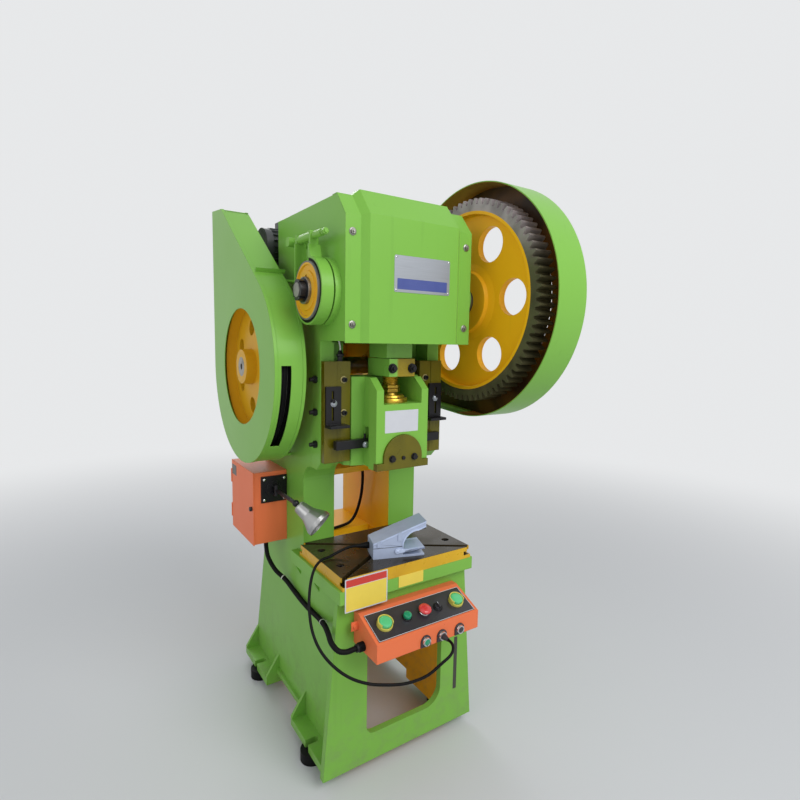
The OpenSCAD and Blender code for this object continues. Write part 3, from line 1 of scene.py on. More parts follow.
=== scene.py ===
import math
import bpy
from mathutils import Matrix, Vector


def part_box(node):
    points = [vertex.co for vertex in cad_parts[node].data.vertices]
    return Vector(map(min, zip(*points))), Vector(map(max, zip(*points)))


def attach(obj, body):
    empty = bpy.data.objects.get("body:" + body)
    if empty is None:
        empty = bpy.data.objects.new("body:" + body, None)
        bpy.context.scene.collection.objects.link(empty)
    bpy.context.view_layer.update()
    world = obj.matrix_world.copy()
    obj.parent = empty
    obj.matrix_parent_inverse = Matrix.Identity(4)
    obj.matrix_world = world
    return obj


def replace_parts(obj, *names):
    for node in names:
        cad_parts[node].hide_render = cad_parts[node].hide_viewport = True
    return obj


bl_info = {
    "name": "Open-back stamping press",
    "version": (1, 0, 0),
    "blender": (4, 5, 0),
    "location": "3D View > Sidebar > Press",
    "description": "Paints a crank press and adds its cords, plates and small fittings",
    "category": "Object",
}

import bpy
from mathutils import Matrix, Vector

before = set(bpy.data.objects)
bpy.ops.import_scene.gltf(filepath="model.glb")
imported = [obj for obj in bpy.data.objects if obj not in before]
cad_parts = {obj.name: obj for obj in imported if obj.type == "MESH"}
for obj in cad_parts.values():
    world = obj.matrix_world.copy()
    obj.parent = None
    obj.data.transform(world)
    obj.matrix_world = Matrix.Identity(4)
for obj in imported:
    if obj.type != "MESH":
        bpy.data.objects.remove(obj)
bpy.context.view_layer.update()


def srgb(r, g, b):
    """A colour as read from a picture, in linear light."""
    return tuple(((v / 255 + 0.055) / 1.055) ** 2.4 if v > 10 else v / 255 / 12.92 for v in (r, g, b))


def scaled(colour, k):
    return tuple(c * k for c in colour)


# Where things lie, in metres: the same values as the part's own
CRANK = (-0.33, 1.696)
PINION = (0.08946, 1.4236)
GUARD_R = 0.464
LOBE_R = 0.160
COVER_FRONT = -0.485
SLIDE_FRONT = -0.42
BED_FRONT = -0.4953
BOX_FRONT = -0.618
BOLT_FACE = -0.465
CONNECTOR_Z = 0.507
PANEL = (-0.56169, 0.57712)
SLOPE = (0.37638, 0.92647)
PEDAL = (-0.114, -0.412)
LAMP = (-0.318, 0.925)
BOLSTER_TOP = 0.742
SEAMS = (0.697, 1.528)
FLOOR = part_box("foot_pads")[0].z
TO_FRONT, UP = (0, -1, 0), (0, 0, 1)


# Settings

COLOUR = {"subtype": "COLOR", "min": 0, "max": 1}


class PressPaints(bpy.types.PropertyGroup):
    green: bpy.props.FloatVectorProperty(name="Green", description="Paint of the frame and guards",
        default=srgb(126, 184, 74), **COLOUR)
    yellow: bpy.props.FloatVectorProperty(name="Yellow", description="Paint of the wheels and of the inside",
        default=srgb(232, 176, 30), **COLOUR)
    orange: bpy.props.FloatVectorProperty(name="Orange", description="Coating of the electric boxes",
        default=srgb(240, 122, 76), **COLOUR)
    pedal: bpy.props.FloatVectorProperty(name="Pedal", description="Hammered paint of the foot pedal",
        default=srgb(186, 199, 226), **COLOUR)
    oil: bpy.props.FloatVectorProperty(name="Oil", description="Rust-proof oil on bare steel",
        default=srgb(84, 80, 12), **COLOUR)
    steel: bpy.props.FloatVectorProperty(name="Steel", description="Bare machined steel",
        default=srgb(150, 148, 142), **COLOUR)
    black: bpy.props.FloatVectorProperty(name="Black", description="Blackened fasteners",
        default=srgb(22, 21, 24), **COLOUR)
    rubber: bpy.props.FloatVectorProperty(name="Rubber", description="Cords, belts and pads",
        default=srgb(9, 9, 10), **COLOUR)
    brass: bpy.props.FloatVectorProperty(name="Brass", description="Ball screw, seat and bushes",
        default=srgb(206, 170, 60), **COLOUR)


class PressTrim(bpy.types.PropertyGroup):
    edge: bpy.props.FloatProperty(name="Edge", description="Radius of the softened paint edges",
        subtype="DISTANCE", min=0.0, max=0.01, default=0.0025)
    rivet_r: bpy.props.FloatProperty(name="Rivet radius", description="Radius of a plate's rivet",
        subtype="DISTANCE", min=0.001, max=0.01, default=0.0032)
    plate_t: bpy.props.FloatProperty(name="Plate thickness", description="Thickness of the name plate",
        subtype="DISTANCE", min=0.0005, max=0.005, default=0.0012)
    hose_pitch: bpy.props.FloatProperty(name="Hose pitch", description="Distance between the conduit's ribs",
        subtype="DISTANCE", min=0.002, max=0.02, default=0.005)
    hose_depth: bpy.props.FloatProperty(name="Hose depth", description="A groove's share of the radius",
        subtype="FACTOR", min=0, max=0.5, default=0.14)


class PressStage(bpy.types.PropertyGroup):
    floor_r: bpy.props.FloatProperty(name="Floor radius", description="Radius of the pale floor",
        subtype="DISTANCE", min=4, max=60, default=30)
    key_power: bpy.props.FloatProperty(name="Key light", description="Power of the large lamp at the front",
        subtype="POWER", min=0, max=2000, default=150)
    fill_power: bpy.props.FloatProperty(name="Fill light", description="Power of the lamp on the left",
        subtype="POWER", min=0, max=2000, default=22)
    sky: bpy.props.FloatProperty(name="Sky", description="Strength of the light from all round",
        min=0, max=4, default=0.5)
    backdrop: bpy.props.FloatVectorProperty(name="Backdrop", description="Colour behind the press",
        default=(0.80, 0.81, 0.82), **COLOUR)


# Node helpers

def feed(tree, socket, value):
    """Link a socket to a value that varies, or set it."""
    if isinstance(value, bpy.types.NodeSocket):
        tree.links.new(value, socket)
    else:
        socket.default_value = value


def add(tree, kind, **values):
    """A node with its inputs and settings filled in. Inputs are named as on the node."""
    n = tree.nodes.new(kind)
    for key, value in values.items():
        if hasattr(n, key) and key not in n.inputs:
            setattr(n, key, value)
    for key, value in values.items():
        socket = n.inputs.get(key) or n.inputs.get(key.replace("_", " "))
        if socket:
            feed(tree, socket, value)
    return n


def fill(tree, kind, values, **settings):
    """A node whose inputs are filled in by their order."""
    n = add(tree, kind, **settings)
    for socket, value in zip(n.inputs, values):
        feed(tree, socket, value)
    return n.outputs[0]


def maths(tree, operation, *values, clamp=False):
    return fill(tree, "ShaderNodeMath", values, operation=operation, use_clamp=clamp)


def times(tree, a, b, clamp=False):
    return maths(tree, "MULTIPLY", a, b, clamp=clamp)


def mix(tree, factor, a, b):
    n = add(tree, "ShaderNodeMix", data_type="RGBA")
    for k, value in ((0, factor), (6, a), (7, b)):
        feed(tree, n.inputs[k], (*value, 1)[:4] if isinstance(value, tuple) else value)
    return n.outputs[2]


def ramp(tree, value, low, high):
    return fill(tree, "ShaderNodeMapRange", (value, low, high), interpolation_type="SMOOTHSTEP")


def place(tree):
    return tree.nodes.new("ShaderNodeTexCoord").outputs["Object"]


def coordinates(tree):
    return add(tree, "ShaderNodeSeparateXYZ", Vector=place(tree)).outputs


def stretched(tree, *scale):
    return add(tree, "ShaderNodeMapping", Vector=place(tree), Scale=scale).outputs[0]


def noise(tree, scale, detail=2.0, at=None, **values):
    values.update(Vector=at or place(tree), Scale=scale, Detail=detail)
    return add(tree, "ShaderNodeTexNoise", **values).outputs[0]


def group(name, inputs, *outputs):
    """An empty shader group with number inputs and the number outputs that are named."""
    tree = bpy.data.node_groups.new(name, "ShaderNodeTree")
    for label, default in inputs.items():
        s = tree.interface.new_socket(label, in_out="INPUT", socket_type="NodeSocketFloat")
        s.default_value = default
    for label in outputs:
        tree.interface.new_socket(label, in_out="OUTPUT", socket_type="NodeSocketFloat")
    return tree, tree.nodes.new("NodeGroupInput").outputs, tree.nodes.new("NodeGroupOutput").inputs


def use(tree, name, **inputs):
    n = tree.nodes.new("ShaderNodeGroup")
    n.node_tree = bpy.data.node_groups[name]
    for key, value in inputs.items():
        n.inputs[key.replace("_", " ")].default_value = value
    return n.outputs


def build_groups():
    """Effects that several finishes share."""
    t, i, o = group("paint_surface", {"Scale": 1.0, "Chips": 0.5}, "Mottle", "Chip", "Height")
    peel = noise(t, times(t, i["Scale"], 210.0), 1.0)
    cast = noise(t, times(t, i["Scale"], 24.0), 4.0)
    spots = noise(t, times(t, i["Scale"], 46.0), 6.0, Roughness=0.72)
    chance = times(t, ramp(t, spots, 0.69, 0.72), ramp(t, noise(t, 5.5), 0.52, 0.6))
    feed(t, o["Mottle"], noise(t, 3.1, 3.0, Roughness=0.6))
    feed(t, o["Chip"], times(t, chance, i["Chips"], clamp=True))
    feed(t, o["Height"], maths(t, "ADD", times(t, peel, 0.25), cast))

    t, i, o = group("dust_and_drips", {"Reach": 0.5}, "Dust", "Drip")
    low = maths(t, "SUBTRACT", 1.0, ramp(t, coordinates(t)[2], -0.04, 0.5))
    fine = ramp(t, noise(t, 17.0, 6.0, Roughness=0.7), 0.4, 0.75)
    feed(t, o["Dust"], times(t, times(t, low, i["Reach"]), fine, clamp=True))
    feed(t, o["Drip"], ramp(t, noise(t, 1.0, 3.0, stretched(t, 34, 34, 1.6)), 0.62, 0.74))

    t, i, o = group("oil_film", {"Scale": 1.0}, "Thick", "Streak", "Height")
    smear = noise(t, times(t, i["Scale"], 7.0), 3.0, Roughness=0.5, Distortion=0.4)
    feed(t, o["Thick"], ramp(t, smear, 0.35, 0.68))
    feed(t, o["Streak"], ramp(t, noise(t, 1.0, 2.0, stretched(t, 60, 60, 5)), 0.45, 0.7))
    feed(t, o["Height"], smear)

    inputs = {"Axis Y": CRANK[0], "Axis Z": CRANK[1], "Pitch": 900.0}
    t, i, o = group("turned_lines", inputs, "Radius", "Height")
    xyz = coordinates(t)
    y, z = maths(t, "SUBTRACT", xyz[1], i["Axis Y"]), maths(t, "SUBTRACT", xyz[2], i["Axis Z"])
    r = maths(t, "SQRT", maths(t, "ADD", times(t, y, y), times(t, z, z)))
    feed(t, o["Radius"], r)
    feed(t, o["Height"], maths(t, "SINE", times(t, maths(t, "ADD", r, xyz[0]), times(t, i["Pitch"], 6.283))))


def film(t, scale=1.0):
    return use(t, "oil_film", Scale=scale)["Thick"]


def from_axis(t, axis):
    return use(t, "turned_lines", Axis_Y=axis[0], Axis_Z=axis[1])["Radius"]


finishes = {}


def finish_of(name, colour, rough, metallic=0.0, coat=0.0, height=None, strength=0.1, distance=0.001,
              edge=True, gloss=0.5, seams=()):
    """A Principled material. colour, rough and height are made by functions of its tree.
    At the heights in seams, where one casting is two solids, the edges aren't softened."""
    m = bpy.data.materials.new(name)
    m.use_nodes = True
    t = m.node_tree
    shader = t.nodes["Principled BSDF"].inputs
    feed(t, shader["Base Color"], colour(t) if callable(colour) else (*colour, 1))
    feed(t, shader["Roughness"], rough(t) if callable(rough) else rough)
    for key, value in (("Metallic", metallic), ("Coat Weight", coat), ("Coat Roughness", 0.06),
                       ("Specular IOR Level", gloss)):
        shader[key].default_value = value
    normal = None
    if edge:
        normal = add(t, "ShaderNodeBevel", samples=4, Radius=bpy.context.scene.press_trim.edge).outputs[0]
        for z in seams:
            blend = add(t, "ShaderNodeMix", data_type="VECTOR")
            feed(t, blend.inputs[0], within(t, ((-9, 9), (-9, 9), (z - 0.004, z + 0.004))))
            feed(t, blend.inputs[4], normal)
            feed(t, blend.inputs[5], t.nodes.new("ShaderNodeNewGeometry").outputs["Normal"])
            normal = blend.outputs[1]
    if height:
        bump = add(t, "ShaderNodeBump", Strength=strength, Distance=distance, Height=height(t))
        if normal:
            feed(t, bump.inputs["Normal"], normal)
        normal = bump.outputs[0]
    if normal:
        feed(t, shader["Normal"], normal)
    m.diffuse_color = (*colour, 1) if not callable(colour) else (0.5, 0.5, 0.5, 1)
    finishes[name] = m


def within(t, box, soft=0.0002):
    """1 where a point lies inside the box, else 0."""
    result = None
    for value, (low, high) in zip(coordinates(t), box):
        mask = times(t, maths(t, "GREATER_THAN", value, low - soft), maths(t, "LESS_THAN", value, high + soft))
        result = mask if result is None else times(t, result, mask)
    return result


def either(t, *masks):
    result = masks[0]
    for m in masks[1:]:
        result = maths(t, "MAXIMUM", result, m)
    return result


def mottled(light, dark, scale, detail=2.0, amount=None, at=None):
    """A colour that drifts towards another one."""
    def make(t):
        spots = noise(t, scale, detail, stretched(t, *at) if at else None)
        return mix(t, times(t, spots, amount) if amount else spots, light, dark)
    return make


def filmed(light, dark, scale):
    """A colour that turns to another one under thick oil."""
    return lambda t: mix(t, film(t, scale), light, dark)


def painted(colour, chips=0.35, dust=0.5, inside=None):
    """Enamel with broad variation, a few chips, runs and floor dust."""
    def make(t):
        wear = use(t, "paint_surface", Chips=chips)
        dirt = use(t, "dust_and_drips", Reach=dust)
        base = mix(t, times(t, wear["Mottle"], 0.30), colour, scaled(colour, 0.80))
        if inside:
            base = mix(t, inside(t), base, mix(t, wear["Mottle"], srgb(255, 210, 44), srgb(252, 188, 24)))
        base = mix(t, times(t, dirt["Drip"], 0.10), base, scaled(colour, 0.45))
        base = mix(t, wear["Chip"], base, (0.05, 0.045, 0.03))
        return mix(t, times(t, dirt["Dust"], 0.7), base, (0.20, 0.18, 0.14))
    return make


def rough_paint(low, high):
    def make(t):
        base = maths(t, "ADD", low, times(t, use(t, "paint_surface")["Mottle"], high - low))
        return maths(t, "ADD", base, times(t, use(t, "dust_and_drips")["Dust"], 0.3), clamp=True)
    return make


def paint_bump(scale=1.0):
    return lambda t: use(t, "paint_surface", Scale=scale)["Height"]


def inside_of_frame(t):
    """The yellow inner faces of the base, the throat and the column pockets."""
    base = within(t, ((-0.2372, 0.2372), (-0.4372, 0.43), (-0.01, 0.6502)))
    throat = within(t, ((-0.1302, 0.1302), (-0.1279, 0.2938), (0.62, 1.52)))
    return either(t, base, throat)


def oil_rough(high, drop):
    return lambda t: maths(t, "SUBTRACT", high, times(t, film(t), drop))


def oil_height(t):
    return use(t, "oil_film")["Height"]


def wheel_colour(axis, rim, inner, paint, lit=None):
    """Paint on the web and bare metal at the rim and the bore, lighter where the light reaches it."""
    def make(t):
        r = from_axis(t, axis)
        bare = either(t, maths(t, "GREATER_THAN", r, rim), maths(t, "LESS_THAN", r, inner))
        metal = (0.20, 0.195, 0.18)
        if lit:
            metal = mix(t, ramp(t, coordinates(t)[2], *lit), (0.10, 0.095, 0.045), (0.44, 0.385, 0.39))
        metal = mix(t, times(t, film(t, 1.6), 0.45), metal, (0.022, 0.019, 0.012))
        return mix(t, bare, painted(paint, dust=0.0)(t), metal)
    return make


def enamel(name, colour, low, high, gloss, grain=1.0, strength=0.08, coat=0.0, seams=()):
    """A painted finish, its roughness from low to high."""
    finish_of(name, colour, rough_paint(low, high), coat=coat, height=paint_bump(grain), strength=strength,
        gloss=gloss, seams=seams)


def build_finishes():
    p = bpy.context.scene.press_paints
    keys = ("green", "yellow", "orange", "pedal", "oil", "steel", "black", "rubber", "brass")
    green, yellow, orange, pedal, oil, steel, black, rubber, brass = (tuple(getattr(p, k)) for k in keys)
    enamel("frame_paint", painted(green, inside=inside_of_frame), 0.24, 0.42, 0.22, strength=0.09, coat=0.05,
        seams=SEAMS)
    enamel("guard_paint", painted(green, chips=0.2, dust=0.1), 0.24, 0.38, 0.18, 0.5, 0.035, 0.04)
    gear_yellow = tuple(min(c * k, 1) for c, k in zip(yellow, (1.32, 1.16, 0.7)))
    enamel("gear_paint", wheel_colour(CRANK, 0.3525, 0.053, gear_yellow, (1.78, 2.02)), 0.3, 0.46, 0.2)
    enamel("flywheel_paint", wheel_colour(PINION, 0.3405, 0.0, scaled(yellow, 0.9)), 0.28, 0.44, 0.16)
    enamel("drum_paint", wheel_colour(CRANK, 0.0915, 0.0, yellow), 0.28, 0.44, 0.3)

    def guard_colour(t):
        """Green outside; amber brown on the guard's inner faces."""
        near = [maths(t, "LESS_THAN", from_axis(t, axis), r - 0.0036)
            for axis, r in ((CRANK, GUARD_R), (PINION, LOBE_R))]
        inside = times(t, either(t, *near), maths(t, "LESS_THAN", coordinates(t)[0], 0.5085))
        inner_amber = mix(t, film(t, 0.6), srgb(212, 162, 70), srgb(156, 112, 42))
        return mix(t, inside, painted(green, chips=0.2, dust=0.1)(t), inner_amber)

    enamel("gear_guard_paint", guard_colour, 0.24, 0.38, 0.2, 0.5, 0.035, 0.04)
    # A darker amber brown for the flange inside the gear guard.
    finish_of("thrown_grease", filmed(srgb(92, 62, 22), srgb(46, 30, 12), 0.9), 0.42, height=oil_height,
        strength=0.05, gloss=0.3)

    def orange_colour(t):
        """The boxes' coating, with the conduit's two ends and the door's knob black."""
        black_at = (((-0.26, -0.2187), (-0.552, -0.512), (0.487, 0.527)),
            ((-0.36, -0.30), (0.08, 0.14), (0.68, 0.6993)), ((-0.42, -0.4051), (0.04, 0.082), (0.828, 0.869)))
        fittings = either(t, *(within(t, box) for box in black_at))
        return mix(t, fittings, painted(orange, chips=0.25, dust=0.0)(t), (0.013, 0.013, 0.015))

    enamel("orange_coat", orange_colour, 0.36, 0.52, 0.26, 1.8, 0.12)

    def rod_colour(t):
        """Paint, with oil on the lower right of the rod."""
        xyz = coordinates(t)
        wet = times(t, ramp(t, xyz[0], -0.026, -0.014), maths(t, "LESS_THAN", xyz[2], 1.4712))
        oil_colour = mix(t, film(t, 2.0), srgb(150, 130, 22), srgb(126, 108, 16))
        return mix(t, wet, painted(green, chips=0.2, dust=0.0)(t), oil_colour)

    enamel("rod_paint", rod_colour, 0.2, 0.34, 0.3, 0.5, 0.06, 0.12)

    def bolster_colour(t):
        """Dark grease on top and in the slots, amber oil round the edge."""
        side = maths(t, "LESS_THAN", coordinates(t)[2], BOLSTER_TOP - 0.0006)
        in_slot = within(t, ((-0.276, 0.276), (-0.493, -0.135), (0.6, 0.7419)))
        rim = times(t, side, maths(t, "SUBTRACT", 1.0, in_slot))
        dark = mix(t, times(t, film(t, 0.8), 0.7), (0.042, 0.028, 0.009), (0.021, 0.014, 0.005))
        return mix(t, rim, dark, mottled(srgb(232, 186, 26), srgb(192, 140, 14), 6.0, 3.0)(t))

    finish_of("bolster_oil", bolster_colour, oil_rough(0.40, 0.22), metallic=0.1, coat=0.1, height=oil_height,
        strength=0.12, gloss=0.4)

    def oiled_colour(t):
        wet = use(t, "oil_film")
        thick = maths(t, "ADD", times(t, wet["Thick"], 0.85), times(t, wet["Streak"], 0.15), clamp=True)
        return mix(t, times(t, thick, 0.6), mix(t, 0.55, srgb(126, 116, 14), oil), oil)

    finish_of("oiled_steel", oiled_colour, oil_rough(0.42, 0.24), metallic=0.2, coat=0.14, height=oil_height,
        strength=0.04, gloss=0.3)
    finish_of("bright_steel",
        lambda t: mix(t, ramp(t, noise(t, 30.0, 6.0), 0.45, 0.75), steel, scaled(steel, 0.45)),
        lambda t: maths(t, "ADD", 0.28, times(t, noise(t, 60.0), 0.2)), metallic=1.0,
        height=lambda t: use(t, "turned_lines")["Height"], strength=0.05)
    finish_of("black_oxide", mottled(black, scaled(black, 1.6), 42.0, 5.0), 0.38, metallic=0.3, coat=0.1,
        gloss=0.35)
    finish_of("rubber", mottled(rubber, (0.006, 0.006, 0.006), 22.0, 5.0, 0.6), 0.55,
        height=lambda t: noise(t, 160.0), strength=0.06, edge=False, gloss=0.15)
    finish_of("brass", filmed(brass, scaled(brass, 0.5), 3.0), 0.26, metallic=1.0, coat=0.2,
        height=lambda t: use(t, "turned_lines", Axis_Y=CRANK[0], Pitch=420.0)["Height"], strength=0.05)
    finish_of("screw_brass", filmed(brass, scaled(brass, 0.45), 3.0), 0.3, metallic=0.85, coat=0.1)
    finish_of("motor_cast", lambda t: mix(t, use(t, "paint_surface")["Mottle"], (0.060, 0.066, 0.066),
        (0.036, 0.040, 0.040)), 0.42, height=paint_bump(2.0), strength=0.15)
    finish_of("panel_black", mottled((0.020, 0.018, 0.024), (0.036, 0.032, 0.042), 12.0, 4.0), 0.36, coat=0.15,
        height=lambda t: noise(t, 700.0), strength=0.05)
    for name, colour in (("palm_green", srgb(92, 206, 136)), ("start_green", srgb(24, 148, 104)),
                         ("red_button", srgb(216, 56, 60))):
        finish_of(name, mottled(colour, scaled(colour, 0.7), 40.0, 4.0, 0.3), 0.24, coat=0.5)

    def shroud_colour(t):
        """Yellow shrouds round the palm buttons, black rings round the others."""
        near = within(t, ((-0.11, 0.11), (-0.7, -0.4), (0.4, 0.7)))
        worn = mottled(srgb(230, 218, 104), srgb(204, 190, 76), 40.0, 4.0)(t)
        return mix(t, near, worn, (0.022, 0.022, 0.026))

    finish_of("yellow_plastic", shroud_colour, 0.3, coat=0.3)
    finish_of("chrome", mottled((0.72, 0.72, 0.73), (0.48, 0.48, 0.49), 70.0, 3.0), 0.16, metallic=1.0,
        edge=False)
    # The pedal's paint twice: a little darker on the cover, and lighter as a painted highlight on the rims, the
    # bead, the treadle's cheeks and pins.
    for name, k in (("pedal_paint", 0.92), ("pedal_edge", 1.2)):
        light, dark = tuple(min(c * k, 1) for c in pedal), scaled(scaled(pedal, k), 0.8)
        finish_of(name, mottled(light, dark, 34.0, 4.0), 0.36, metallic=0.08, coat=0.12,
            gloss=0.35, strength=0.25, distance=0.0006,
            height=lambda t: add(t, "ShaderNodeTexVoronoi", Vector=place(t), Scale=190.0).outputs[0])
    finish_of("lamp_tin", mottled((0.52, 0.52, 0.51), (0.32, 0.32, 0.32), 14.0, 5.0), 0.3, metallic=0.9)
    finish_of("plate", mottled(srgb(174, 179, 186), srgb(148, 152, 158), 3.0, 3.0, at=(4, 4, 260)), 0.32,
        metallic=0.6, edge=False)
    finish_of("plate_blue", mottled(srgb(58, 72, 140), srgb(74, 88, 152), 30.0), 0.36, edge=False)
    # The white also paints the highlight line round the fascia, and the dark paints the shade in the pedal's
    # seam and in the base's slot.
    for name, colour in (("label_white", srgb(206, 208, 214)), ("oil_tan", srgb(190, 176, 116)),
                         ("label_yellow", srgb(240, 212, 78)), ("label_red", srgb(206, 52, 40)),
                         ("label_dark", srgb(54, 51, 42)), ("tie_white", srgb(214, 214, 208))):
        finish_of(name, mottled(colour, scaled(colour, 0.72), 26.0, 5.0, 0.35), 0.38, coat=0.2, edge=False)
    finish_of("bulb_glass", (0.92, 0.92, 0.90), 0.12, coat=0.3, edge=False)


NODE_FINISH = {
    "frame_paint": ["frame_base", "frame_columns", "frame_head"],
    "guard_paint": ["front_cover", "belt_guard", "belt_guard_top", "guard_stays", "brake_band",
        "brake_tensioner", "motor_base", "slide"],
    "gear_guard_paint": ["gear_guard"],
    "rod_paint": ["connecting_rod"],
    "gear_paint": ["main_gear"],
    "flywheel_paint": ["flywheel"],
    "drum_paint": ["brake_drum"],
    "orange_coat": ["electric_box", "box_door", "control_box"],
    "bolster_oil": ["bolster_plate"],
    "oiled_steel": ["gib_left", "gib_right", "gib_strips", "die_clamp"],
    "bright_steel": ["cover_bolts", "motor_pulley", "pinion_shaft", "crankshaft", "gear_retainer"],
    "black_oxide": ["bolster_bolts", "gib_screws", "knockout_stops", "crank_nut", "rod_studs", "clamp_bolts",
        "knockout_bar", "lamp_base", "lamp_arm"],
    "rubber": ["brake_lining", "drive_belts", "foot_pads", "pedal_gland"],
    "brass": ["bearing_bushes"],
    "motor_cast": ["motor"],
    "panel_black": ["box_components", "control_fascia", "panel_connectors", "selector_switch"],
    "palm_green": ["palm_button_left", "palm_button_right"],
    "start_green": ["start_button"],
    "red_button": ["emergency_stop"],
    "yellow_plastic": ["button_shrouds"],
    "pedal_paint": ["pedal_housing", "pedal_treadle"],
    "lamp_tin": ["lamp_head"],
}


# Shapes

def in_scene(name, data):
    o = bpy.data.objects.new(name, data)
    bpy.context.scene.collection.objects.link(o)
    return o


def join_body(o, slot, body="press"):
    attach(o, body)
    return o


def piece(name, verts, faces, finish, slot, body="press", smooth=False):
    mesh = bpy.data.meshes.new(name)
    mesh.from_pydata([tuple(v) for v in verts], [], faces)
    mesh.validate()
    mesh.update()
    if smooth:
        mesh.polygons.foreach_set("use_smooth", [True] * len(mesh.polygons))
        mesh.set_sharp_from_angle(angle=math.radians(38))
    mesh.materials.append(finishes[finish])
    return join_body(in_scene(name, mesh), slot, body)


def around(n):
    """The points of a circle of radius 1."""
    return [(math.cos(math.tau * j / n), math.sin(math.tau * j / n)) for j in range(n)]


def arc(r, x, z, angles):
    """Points round (x, z) at the angles, in degrees."""
    return [(x + r * math.cos(a), z + r * math.sin(a)) for a in (math.radians(v) for v in angles)]


def band(a, b, n):
    """The faces between two rings of n points that start at a and b."""
    return [(a + j, a + (j + 1) % n, b + (j + 1) % n, b + j) for j in range(n)]


def round_plate(name, low, high, front, thick, finish, slot, body="press", corner=0.002, bevel=0.0001):
    """A plate with round corners that faces -Y, its back at front."""
    (x0, z0), (x1, z1) = low, high
    ring = []
    for cx, cz, a0 in ((x1 - corner, z1 - corner, 0), (x0 + corner, z1 - corner, 90),
                       (x0 + corner, z0 + corner, 180), (x1 - corner, z0 + corner, 270)):
        ring += arc(corner, cx, cz, range(a0, a0 + 91, 15))
    cx, cz = (x0 + x1) / 2, (z0 + z1) / 2
    n = len(ring)
    shrunk = [(x - bevel * (1 if x > cx else -1), z - bevel * (1 if z > cz else -1)) for x, z in ring]
    loops = [(front, ring), (front - thick + bevel, ring), (front - thick, shrunk)]
    verts = [(x, y, z) for y, loop in loops for x, z in loop]
    faces = [tuple(range(n))[::-1], tuple(2 * n + i for i in range(n))] + band(0, n, n) + band(n, 2 * n, n)
    return piece(name, verts, [f[::-1] for f in faces], finish, slot, body)


def turned(name, at, axis, profile, finish, slot, body="press", n=32, ring=False):
    """A turned piece. The profile is (radius, height) in millimetres from at along the axis,
    and its outside is on its right."""
    axis = Vector(axis).normalized()
    side = axis.orthogonal().normalized()
    up = axis.cross(side)
    rows, verts, faces = [], [], []
    for r, h in profile:
        centre = Vector(at) + axis * h * 0.001
        if r == 0:
            rows.append([len(verts)] * n)
            verts.append(centre)
            continue
        rows.append([len(verts) + j for j in range(n)])
        verts += [centre + (side * c + up * s) * r * 0.001 for c, s in around(n)]
    for low, high in list(zip(rows, rows[1:])) + ([(rows[-1], rows[0])] if ring else []):
        for j in range(n):
            k = (j + 1) % n
            face = list(dict.fromkeys((low[j], low[k], high[k], high[j])))
            if len(face) > 2:
                faces.append(face)
    return piece(name, verts, faces, finish, slot, body, smooth=n > 8)


def cut_out(name, outlines, put, finish, slot, body="press"):
    """Flat shapes with a thickness: each is an outline (x, z) that runs anticlockwise seen from the front,
    with its front and back y."""
    verts, faces = [], []
    for outline, front, back in outlines:
        n, b = len(outline), len(verts)
        verts += [put(x, front, z) for x, z in outline] + [put(x, back, z) for x, z in outline]
        faces += [tuple(b + j for j in range(n)), tuple(b + n + j for j in range(n))[::-1]]
        faces += [(b + j, b + n + j, b + n + (j + 1) % n, b + (j + 1) % n) for j in range(n)]
    return piece(name, verts, faces, finish, slot, body)


def oblong(x0, z0, x1, z1):
    return [(x0, z0), (x1, z0), (x1, z1), (x0, z1)]


def straight(x, y, z):
    return Vector((x, y, z)) / 1000


def smooth_path(points, steps=8):
    """A Catmull-Rom line through the points."""
    p = [straight(*q) for q in points]
    p = [p[0] * 2 - p[1]] + p + [p[-1] * 2 - p[-2]]
    line = []
    for a, b, c, d in zip(p, p[1:], p[2:], p[3:]):
        for k in range(steps):
            t = k / steps
            line.append(0.5 * (2 * b + (c - a) * t + (2 * a - 5 * b + 4 * c - d) * t * t
                + (3 * b - a - 3 * c + d) * t ** 3))
    return line + [p[-2]]


def length_of(line):
    return sum((b - a).length for a, b in zip(line, line[1:]))


def curve_of(name, line, radius=None, finish=None):
    """A curve along the line: a cord if it has a radius and a finish."""
    data = bpy.data.curves.new(name, "CURVE")
    data.dimensions = "3D"
    spline = data.splines.new("POLY")
    spline.points.add(len(line) - 1)
    for q, v in zip(spline.points, line):
        q.co = (*v, 1)
    if radius:
        data.bevel_depth = radius
        data.bevel_resolution = 4
        data.use_fill_caps = True
        data.materials.append(finishes[finish])
    return in_scene(name, data)


def nodes_tree(name, inputs):
    """A Geometry Nodes tree with a geometry input, number inputs and a geometry output."""
    tree = bpy.data.node_groups.new(name, "GeometryNodeTree")
    tree.interface.new_socket("Geometry", in_out="INPUT", socket_type="NodeSocketGeometry")
    for label, default in inputs.items():
        kind = "NodeSocketMaterial" if default is None else "NodeSocketFloat"
        s = tree.interface.new_socket(label, in_out="INPUT", socket_type=kind)
        if default is not None:
            s.default_value = default
    tree.interface.new_socket("Geometry", in_out="OUTPUT", socket_type="NodeSocketGeometry")
    return tree, tree.nodes.new("NodeGroupInput").outputs, tree.nodes.new("NodeGroupOutput").inputs


def close_tree(tree, geometry, material, out):
    smooth = tree.nodes.new("GeometryNodeSetShadeSmooth")
    tree.links.new(geometry, smooth.inputs[0])
    real = tree.nodes.new("GeometryNodeRealizeInstances")
    tree.links.new(smooth.outputs[0], real.inputs[0])
    coated = add(tree, "GeometryNodeSetMaterial", Geometry=real.outputs[0], Material=material)
    tree.links.new(coated.outputs[0], out[0])


def baked(source, tree, values, name):
    """The result of a tree on an object, as a plain mesh object. The source is removed."""
    m = source.modifiers.new("shape", "NODES")
    m.node_group = tree
    for item in tree.interface.items_tree:
        if item.in_out == "INPUT" and item.name in values:
            m[item.identifier] = values[item.name]
    bpy.context.view_layer.update()
    mesh = bpy.data.meshes.new_from_object(source.evaluated_get(bpy.context.evaluated_depsgraph_get()))
    mesh.name = name
    bpy.data.objects.remove(source)
    return in_scene(name, mesh)


